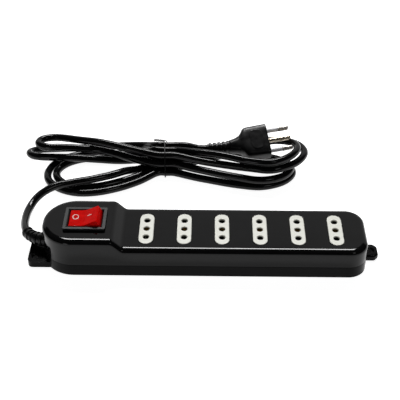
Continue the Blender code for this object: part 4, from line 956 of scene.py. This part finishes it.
def smooth_through(points, steps):
    """Centripetal Catmull-Rom curve through the points."""
    p = np.vstack([2 * points[0] - points[1], points, 2 * points[-1] - points[-2]])
    t = np.concatenate([[0], np.cumsum(np.sqrt(np.linalg.norm(np.diff(p, axis=0), axis=1)))])
    curve = []
    for i in range(1, len(p) - 2):
        for u in np.linspace(t[i], t[i + 1], steps, endpoint=False):
            a = [p[k] + (p[k + 1] - p[k]) * (u - t[k]) / (t[k + 1] - t[k])
                 for k in (i - 1, i, i + 1)]
            b = [a[k] + (a[k + 1] - a[k]) * (u - t[i - 1 + k]) / (t[i + 1 + k] - t[i - 1 + k])
                 for k in (0, 1)]
            curve.append(b[0] + (b[1] - b[0]) * (u - t[i]) / (t[i + 1] - t[i]))
    curve.append(p[-2])
    return np.array(curve)


def spaced(points, step):
    run = np.concatenate([[0], np.cumsum(np.linalg.norm(np.diff(points, axis=0), axis=1))])
    at = np.linspace(0, run[-1], int(round(run[-1] / step)) + 1)
    return np.stack([np.interp(at, run, points[:, k]) for k in range(3)], axis=1)


def push_out_of_plug(points):
    """Push that takes cord points out of the plug, by its nearer side."""
    along, row, thick = (np.array(axis) for axis in (PLUG_AXIS, PIN_ROW, PLUG_SIDE))
    back = -(points - np.array(PLUG_FACE)) @ along
    centre = np.array(PLUG_FACE) - back[:, None] * along
    centre[:, 1] += plug_bend(back)
    half_width, half_thickness = plug_half_size(back)
    across = (points - centre) @ row
    above = (points - centre) @ thick
    room = CORD_DIAMETER / 2 + 0.5
    deep_across = half_width + room - np.abs(across)
    deep_above = half_thickness + room - np.abs(above)
    inside = (back > -3) & (back < PLUG_LENGTH + 3) & (deep_across > 0) & (deep_above > 0)
    by_thick = np.where(inside & (deep_above <= deep_across), deep_above * np.sign(above), 0)
    by_row = np.where(inside & (deep_across < deep_above), deep_across * np.sign(across), 0)
    return 0.5 * (by_thick[:, None] * thick + by_row[:, None] * row)


def settle(points, rounds=260, fixed=9):
    """Moves the turns of cord apart until none runs through another, the plug or the floor."""
    near = int(ceil(CORD_SPACING * 1.6 / CORD_STEP))
    index = np.arange(len(points))
    strangers = np.abs(index[:, None] - index[None, :]) > near
    free = np.ones((len(points), 1))
    free[:fixed] = 0
    free[-fixed:] = 0
    free[np.abs(points[:, 0] - TIE_X) < TIE_PASS_HALF_LENGTH - 1] = 0
    shift = np.zeros_like(points)
    for _ in range(rounds):
        now = points + shift
        apart = now[:, None, :] - now[None, :, :]
        distance = np.linalg.norm(apart, axis=2) + 1e-9
        short = np.where(strangers, np.clip(CORD_SPACING - distance, 0, None), 0)
        push = 0.4 * (apart * (short / distance)[:, :, None]).sum(axis=1)
        shift += (push + push_out_of_plug(now)) * free
        bend = (shift[:-2] + shift[2:]) / 2 - shift[1:-1]
        shift[1:-1] += 0.35 * free[1:-1] * bend
        shift[:, 2] = np.maximum(shift[:, 2], CORD_FLOOR - points[:, 2])
    return points + shift


def cord_path():
    """The settled centre line, kept inside the box of the cord it stands for."""
    path = settle(spaced(smooth_through(guide_points(), 8), CORD_STEP))
    low, high = box_mm("power_cord")
    margin = CORD_DIAMETER / 2 + 0.12
    path[:, 0] = np.maximum(path[:, 0], low.x + margin)
    path[:, 1] = np.minimum(path[:, 1], high.y - margin)
    return path


def make_cord(path):
    points = smooth_through(path, 4)
    cord = wire("cord_jacket", points, CORD_DIAMETER / 2 - 0.04, CORD_PVC)
    stands_for(cord, "cord_sheath", "power_cord", angle=60)


def relief_radius(run, x):
    """Outer radius of the ribbed sleeve, this far from its start, at this x."""
    if x > -STRIP_END + WALL + GAP + 1.2:
        return RELIEF_FLANGE
    if x > -STRIP_END - 0.9:
        return RELIEF_NECK
    if run > RELIEF_COLLAR_FROM:
        return RELIEF_COLLAR
    taper, depth = 0.07, 0.85
    groove = 0.5 - 0.5 * cos(2 * pi * (run - 0.5) / RELIEF_PITCH)
    return RELIEF_RIB - taper * run - depth * min(1, 1.9 * groove) ** 2 * (groove > 0.25)


def make_strain_relief(path):
    fine = spaced(smooth_through(path[:14], 6), RELIEF_STEP)
    fine = fine[fine[:, 0] < RELIEF_START_X][:RELIEF_SAMPLES]
    ahead = np.gradient(fine, axis=0)
    ahead /= np.linalg.norm(ahead, axis=1)[:, None]
    side = np.cross(np.array([0, 0, 1.0]), ahead)
    side /= np.linalg.norm(side, axis=1)[:, None]
    up = np.cross(ahead, side)

    def ring(k, radius):
        return [Vector(fine[k] + u * side[k] + v * up[k]) for u, v in oval(radius, radius, 1, 48)]

    def build(bm):
        outer = [ring(k, relief_radius(k * RELIEF_STEP, fine[k, 0])) for k in range(len(fine))]
        inner = [ring(k, CORD_DIAMETER / 2 + 0.12) for k in range(0, len(fine), 5)]
        loft(bm, outer + list(reversed(inner)), closed=True)

    relief = solid("cord_relief_boot", build, PLUG_PVC)
    stands_for(relief, "cord_sheath", "strain_relief")


def tie_loop():
    """Closed outline of the tie round the bundle, as (y, z), from its top corner by +Y."""
    reach = CORD_DIAMETER / 2 + TIE_CLEARANCE + TIE_WIRE
    corners = [(2, 2, -30, 90), (2, 0, 90, 150), (0, 0, 150, 270), (0, 2, 270, 330)]
    outline = []
    for row, place, start, end in corners:
        y, z = tie_pass(row, place, 1)[0][1:]
        outline += arc(y, z, reach, start, end, 5)
    top = outline.index(max(outline, key=lambda p: (round(p[1], 3), p[0])))
    return outline[top:] + outline[:top + 1]


def twisted_ends(base):
    away = Vector((-0.9, -0.05, 0.12)).normalized()
    side = Vector((0, 1, 0))
    lift = away.cross(side).normalized()
    length, turns, radius = 9, 3, 0.62
    steps = turns * 6
    first, last = [], []
    for k in range(1, steps + 1):
        angle = 2 * pi * turns * k / steps
        centre = base + away * (1 + length * k / steps)
        offset = (side * cos(angle) + lift * sin(angle)) * radius
        first.append(tuple(centre + offset))
        last.append(tuple(centre - offset))
    return first, last


def make_twist_tie():
    outline = tie_loop()
    spread = [0.6 * (2 * k / (len(outline) - 1) - 1) for k in range(len(outline))]
    loop = [(TIE_X + shift, y, z) for shift, (y, z) in zip(spread, outline)]
    first, last = twisted_ends(Vector((TIE_X, outline[0][0], outline[0][1] + 2 * TIE_WIRE)))
    points = np.array(list(reversed(first)) + loop[1:-1] + last)
    tie = wire("tie_wire", smooth_through(points, 3), TIE_WIRE - 0.01, TIE_PVC, 4)
    stands_for(tie, "tie_sleeve", "twist_tie", angle=60)


# ---- plug

def plug_ring(back, half_width, half_thickness, roundness):
    centre = Vector(plug_centre(back))
    return [centre + PIN_ROW * u + PLUG_SIDE * v
            for u, v in oval(half_width, half_thickness, roundness, 72, 0.5)]


def shoulder_size(back):
    """Half sizes and roundness of the body between face and tail."""
    stations = (0, 3, 17, 19.5, 21, 22.6, 24.5, 28, 33)
    widths = (14.55, 14.5, 14.15, 13.6, 12.2, 9.8, 7.9, 6.5, 5.5)
    thicks = (6.75, 6.85, 7.05, 7.05, 6.95, 6.75, 6.45, 6.1, 5.45)
    rounds = (0.42, 0.42, 0.46, 0.5, 0.56, 0.68, 0.8, 0.92, 1)
    return [float(np.interp(back, stations, row)) for row in (widths, thicks, rounds)]


def plug_rings():
    """Sections from the face, over its rounded rim, to the ribbed tail."""
    rings = []
    width, thick, roundness = shoulder_size(0)
    for k in range(7):
        angle = radians(15 * k)
        grow = sin(angle) - 1
        rings.append(plug_ring(1 - cos(angle), width + grow, thick + grow, roundness))
    for back in np.arange(1.5, TAIL_START, 0.5):
        rings.append(plug_ring(back, *shoulder_size(back)))
    groove = 1.05
    start = TAIL_START
    while start < PLUG_LENGTH - 1:
        width = plug_half_size(start)[0]
        for step, inset in ((0.15, 0.25), (0.35, 0), (2.0, 0), (2.25, 0.25), (2.35, groove),
                            (3.45, groove), (3.6, 0.5)):
            rings.append(plug_ring(start + step, width - inset, width - inset, 1))
        start += TAIL_RIB_PITCH
    rings.append(plug_ring(PLUG_LENGTH, 4.1, 4.1, 1))
    return rings


def plug_matrix():
    """The plug face's frame: X out of the face, Y along the pins, Z broad side."""
    turn = Matrix((PLUG_AXIS, PIN_ROW, PLUG_SIDE)).transposed().to_4x4()
    return moved(PLUG_FACE * MM) @ turn


def make_plug_body():
    body = solid("plug_moulding", lambda bm: loft(bm, plug_rings()), PLUG_PVC)
    cut_box(body, "bridge_pocket", (-12.3, -12.8, -4.3), (2, 12.8, 4.3), plug_matrix())
    backs = (15, 20, 26, 31, 35, 39, 43, 47, 51, 56)
    bore = wire("plug_bore", [tuple(plug_centre(b)) for b in backs], CORD_DIAMETER / 2 + 0.1)
    combine(body, bore)
    bake(body)
    stands_for(body, "plug_moulding", "plug_body")
    add_plug_pad()


def add_plug_pad():
    """Plain raised oval on the broad side, where a maker would mould a mark."""
    rings = [[Vector((-10 + u, v, 6.78 + lift))
              for u, v in oval(5.6 - shrink, 9.2 - shrink, 0.6, 48)]
             for lift, shrink in ((-0.6, 0), (0.1, 0), (0.3, 0.25), (0.38, 0.6))]
    pad = solid("plug_pad", lambda bm: loft(bm, rings), PLUG_PVC, plug_matrix())
    stands_for(pad, "plug_moulding")


def make_bridge():
    bridge = solid("pin_bridge", lambda bm: add_box(bm, (-12, -12.5, -4), (0, 12.5, 4)),
                         BRIDGE_BLACK)
    round_edges(bridge, lambda edge: True, 0.5, 3)
    for y in PIN_PLACES:
        cut(bridge, "bridge_hole",
            lambda bm: add_rod(bm, (-13, y, 0), (1, y, 0), PIN_RADIUS + 0.15, 32))
    bake(bridge)
    bridge.matrix_world = plug_matrix()
    stands_for(bridge, "bridge_nylon", "plug_bridge")


def make_plug_pins():
    tip = [(0, PIN_LENGTH), (0.9, PIN_LENGTH), (1.25, PIN_LENGTH - 0.12), (1.6, PIN_LENGTH - 0.4),
           (1.88, PIN_LENGTH - 0.85), (PIN_RADIUS, PIN_LENGTH - 1.4)]
    sleeved = tip + [(PIN_RADIUS, SLEEVE_LENGTH + 0.15), (1.6, SLEEVE_LENGTH + 0.05), (1.6, -9),
                     (0, -9)]
    bare = tip + [(PIN_RADIUS, -9), (0, -9)]
    sleeve = [(PIN_RADIUS - 0.15, SLEEVE_LENGTH), (PIN_RADIUS, SLEEVE_LENGTH - 0.15),
              (PIN_RADIUS, -3), (1.65, -3), (1.65, SLEEVE_LENGTH)]
    finishes = {"live": (sleeved, PIN_NICKEL, "nickel_pins"),
                "earth": (bare, PIN_BRASS, "earth_pin_brass"),
                "neutral": (sleeved, PIN_NICKEL, "nickel_pins")}
    for (name, (profile, material, slot)), y in zip(finishes.items(), PIN_PLACES):
        place = plug_matrix() @ moved((0, y * MM, 0)) @ OUTWARD
        pin = turned("%s_pin_metal" % name, profile, place, material)
        stands_for(pin, slot, "plug_pin_" + name)
        if profile is sleeved:
            cover = turned("%s_pin_cover" % name, sleeve, place, SLEEVE_WHITE, True)
            stands_for(cover, "sleeve_white", "pin_sleeve_" + name)


# ---- inner pieces carried over

INNER_FINISHES = dict(
    black_housing=PAINTED_SHADE_LOWER_BLACK, zinc_steel=ZINC, ivory_insert=IVORY, contact_brass=BRASS,
    switch_black=SATIN_GREY, rocker_red=RED, plunger_white=PLUNGER_WHITE,
    spring_steel=SPRING_STEEL, lamp_glass=LAMP_GLASS, resistor_body=RESISTOR,
    brown_core=BROWN_CORE, blue_core=BLUE_CORE, green_yellow_core=EARTH_CORE,
    varistor_epoxy=VARISTOR_BLUE, cord_sheath=CORD_PVC, tie_sleeve=TIE_PVC,
    plug_moulding=PLUG_PVC, bridge_nylon=BRIDGE_BLACK, nickel_pins=PIN_NICKEL,
    earth_pin_brass=PIN_BRASS, sleeve_white=SLEEVE_WHITE)


# ---- stage, lights and camera

def make_floor():
    """A wide pale table, lit softly from beneath as well as from above."""
    pale = (0.6, 0.6, 0.6, 1)
    shader = Shader("pale_table", Roughness=0.9, specular=0.0, Base_Color=pale,
                    Emission_Color=(1, 1, 1, 1), Emission_Strength=FLOOR_GLOW)
    floor = solid("floor", lambda bm: bmesh.ops.create_circle(
        bm, cap_ends=True, segments=96, radius=FLOOR_RADIUS), shader.material)
    floor.location.z = -FLOOR_GAP * MM


def direction(azimuth, elevation):
    a, e = radians(azimuth), radians(elevation)
    return Vector((sin(a) * cos(e), cos(a) * cos(e), sin(e)))


def card(name, azimuth, elevation, distance, width, height, radiance):
    light = bpy.data.lights.new(name, "AREA")
    light.shape = "RECTANGLE"
    light.size = width
    light.size_y = height
    light.energy = radiance * width * height * pi
    away = direction(azimuth, elevation)
    hang(name, light, moved(away * distance)
         @ away.to_track_quat("Z", "Y").to_matrix().to_4x4())


def hang(name, data, place):
    obj = bpy.data.objects.new(name, data)
    SCENE.collection.objects.link(obj)
    obj.matrix_world = place
    return obj


def make_lights():
    card("top_softbox", 0, 53.5, 2.4, 1.2, 0.38, 43)
    card("backdrop", 0, 21.5, 2.6, 6.0, 1.95, 0.68)
    card("front_left_window", -152, 9, 2.2, 0.5, 0.5, 4)
    card("front_right_fill", 143, 44, 2.2, 0.4, 0.4, 5)
    world = bpy.data.worlds.new("studio")
    SCENE.world = world
    world.use_nodes = True
    background = world.node_tree.nodes["Background"]
    background.inputs["Color"].default_value = (1, 1, 1, 1)
    background.inputs["Strength"].default_value = 0.03


def make_camera():
    forward = direction(-CAMERA_AZIMUTH, -CAMERA_ELEVATION)
    level = forward.cross(Vector((0, 0, 1))).normalized()
    roll = radians(CAMERA_ROLL)
    right = cos(roll) * level + sin(roll) * level.cross(forward)
    camera = bpy.data.cameras.new("camera")
    camera.lens = CAMERA_LENS
    camera.clip_start = 0.02
    camera.clip_end = 40
    turn = Matrix((right, right.cross(forward), -forward)).transposed().to_4x4()
    place = moved((AIM - forward * CAMERA_DISTANCE) * MM) @ turn
    SCENE.camera = hang("camera", camera, place)
    SCENE.view_settings.view_transform = "Standard"


for subpart in RECORD["subparts"]:
    for holder in frame["nodes"][subpart["node"]].material_slots:
        holder.material = INNER_FINISHES[subpart["material_slot"]]
make_upper_housing()
make_lower_housing()
make_screws()
make_socket_inserts()
make_earth_contacts()
make_bezel()
make_rocker()
make_rocker_marks()
path = cord_path()
make_cord(path)
make_strain_relief(path)
make_twist_tie()
make_plug_body()
make_bridge()
make_plug_pins()
make_floor()
make_lights()
make_camera()
bpy.data.collections.remove(CUTTERS)
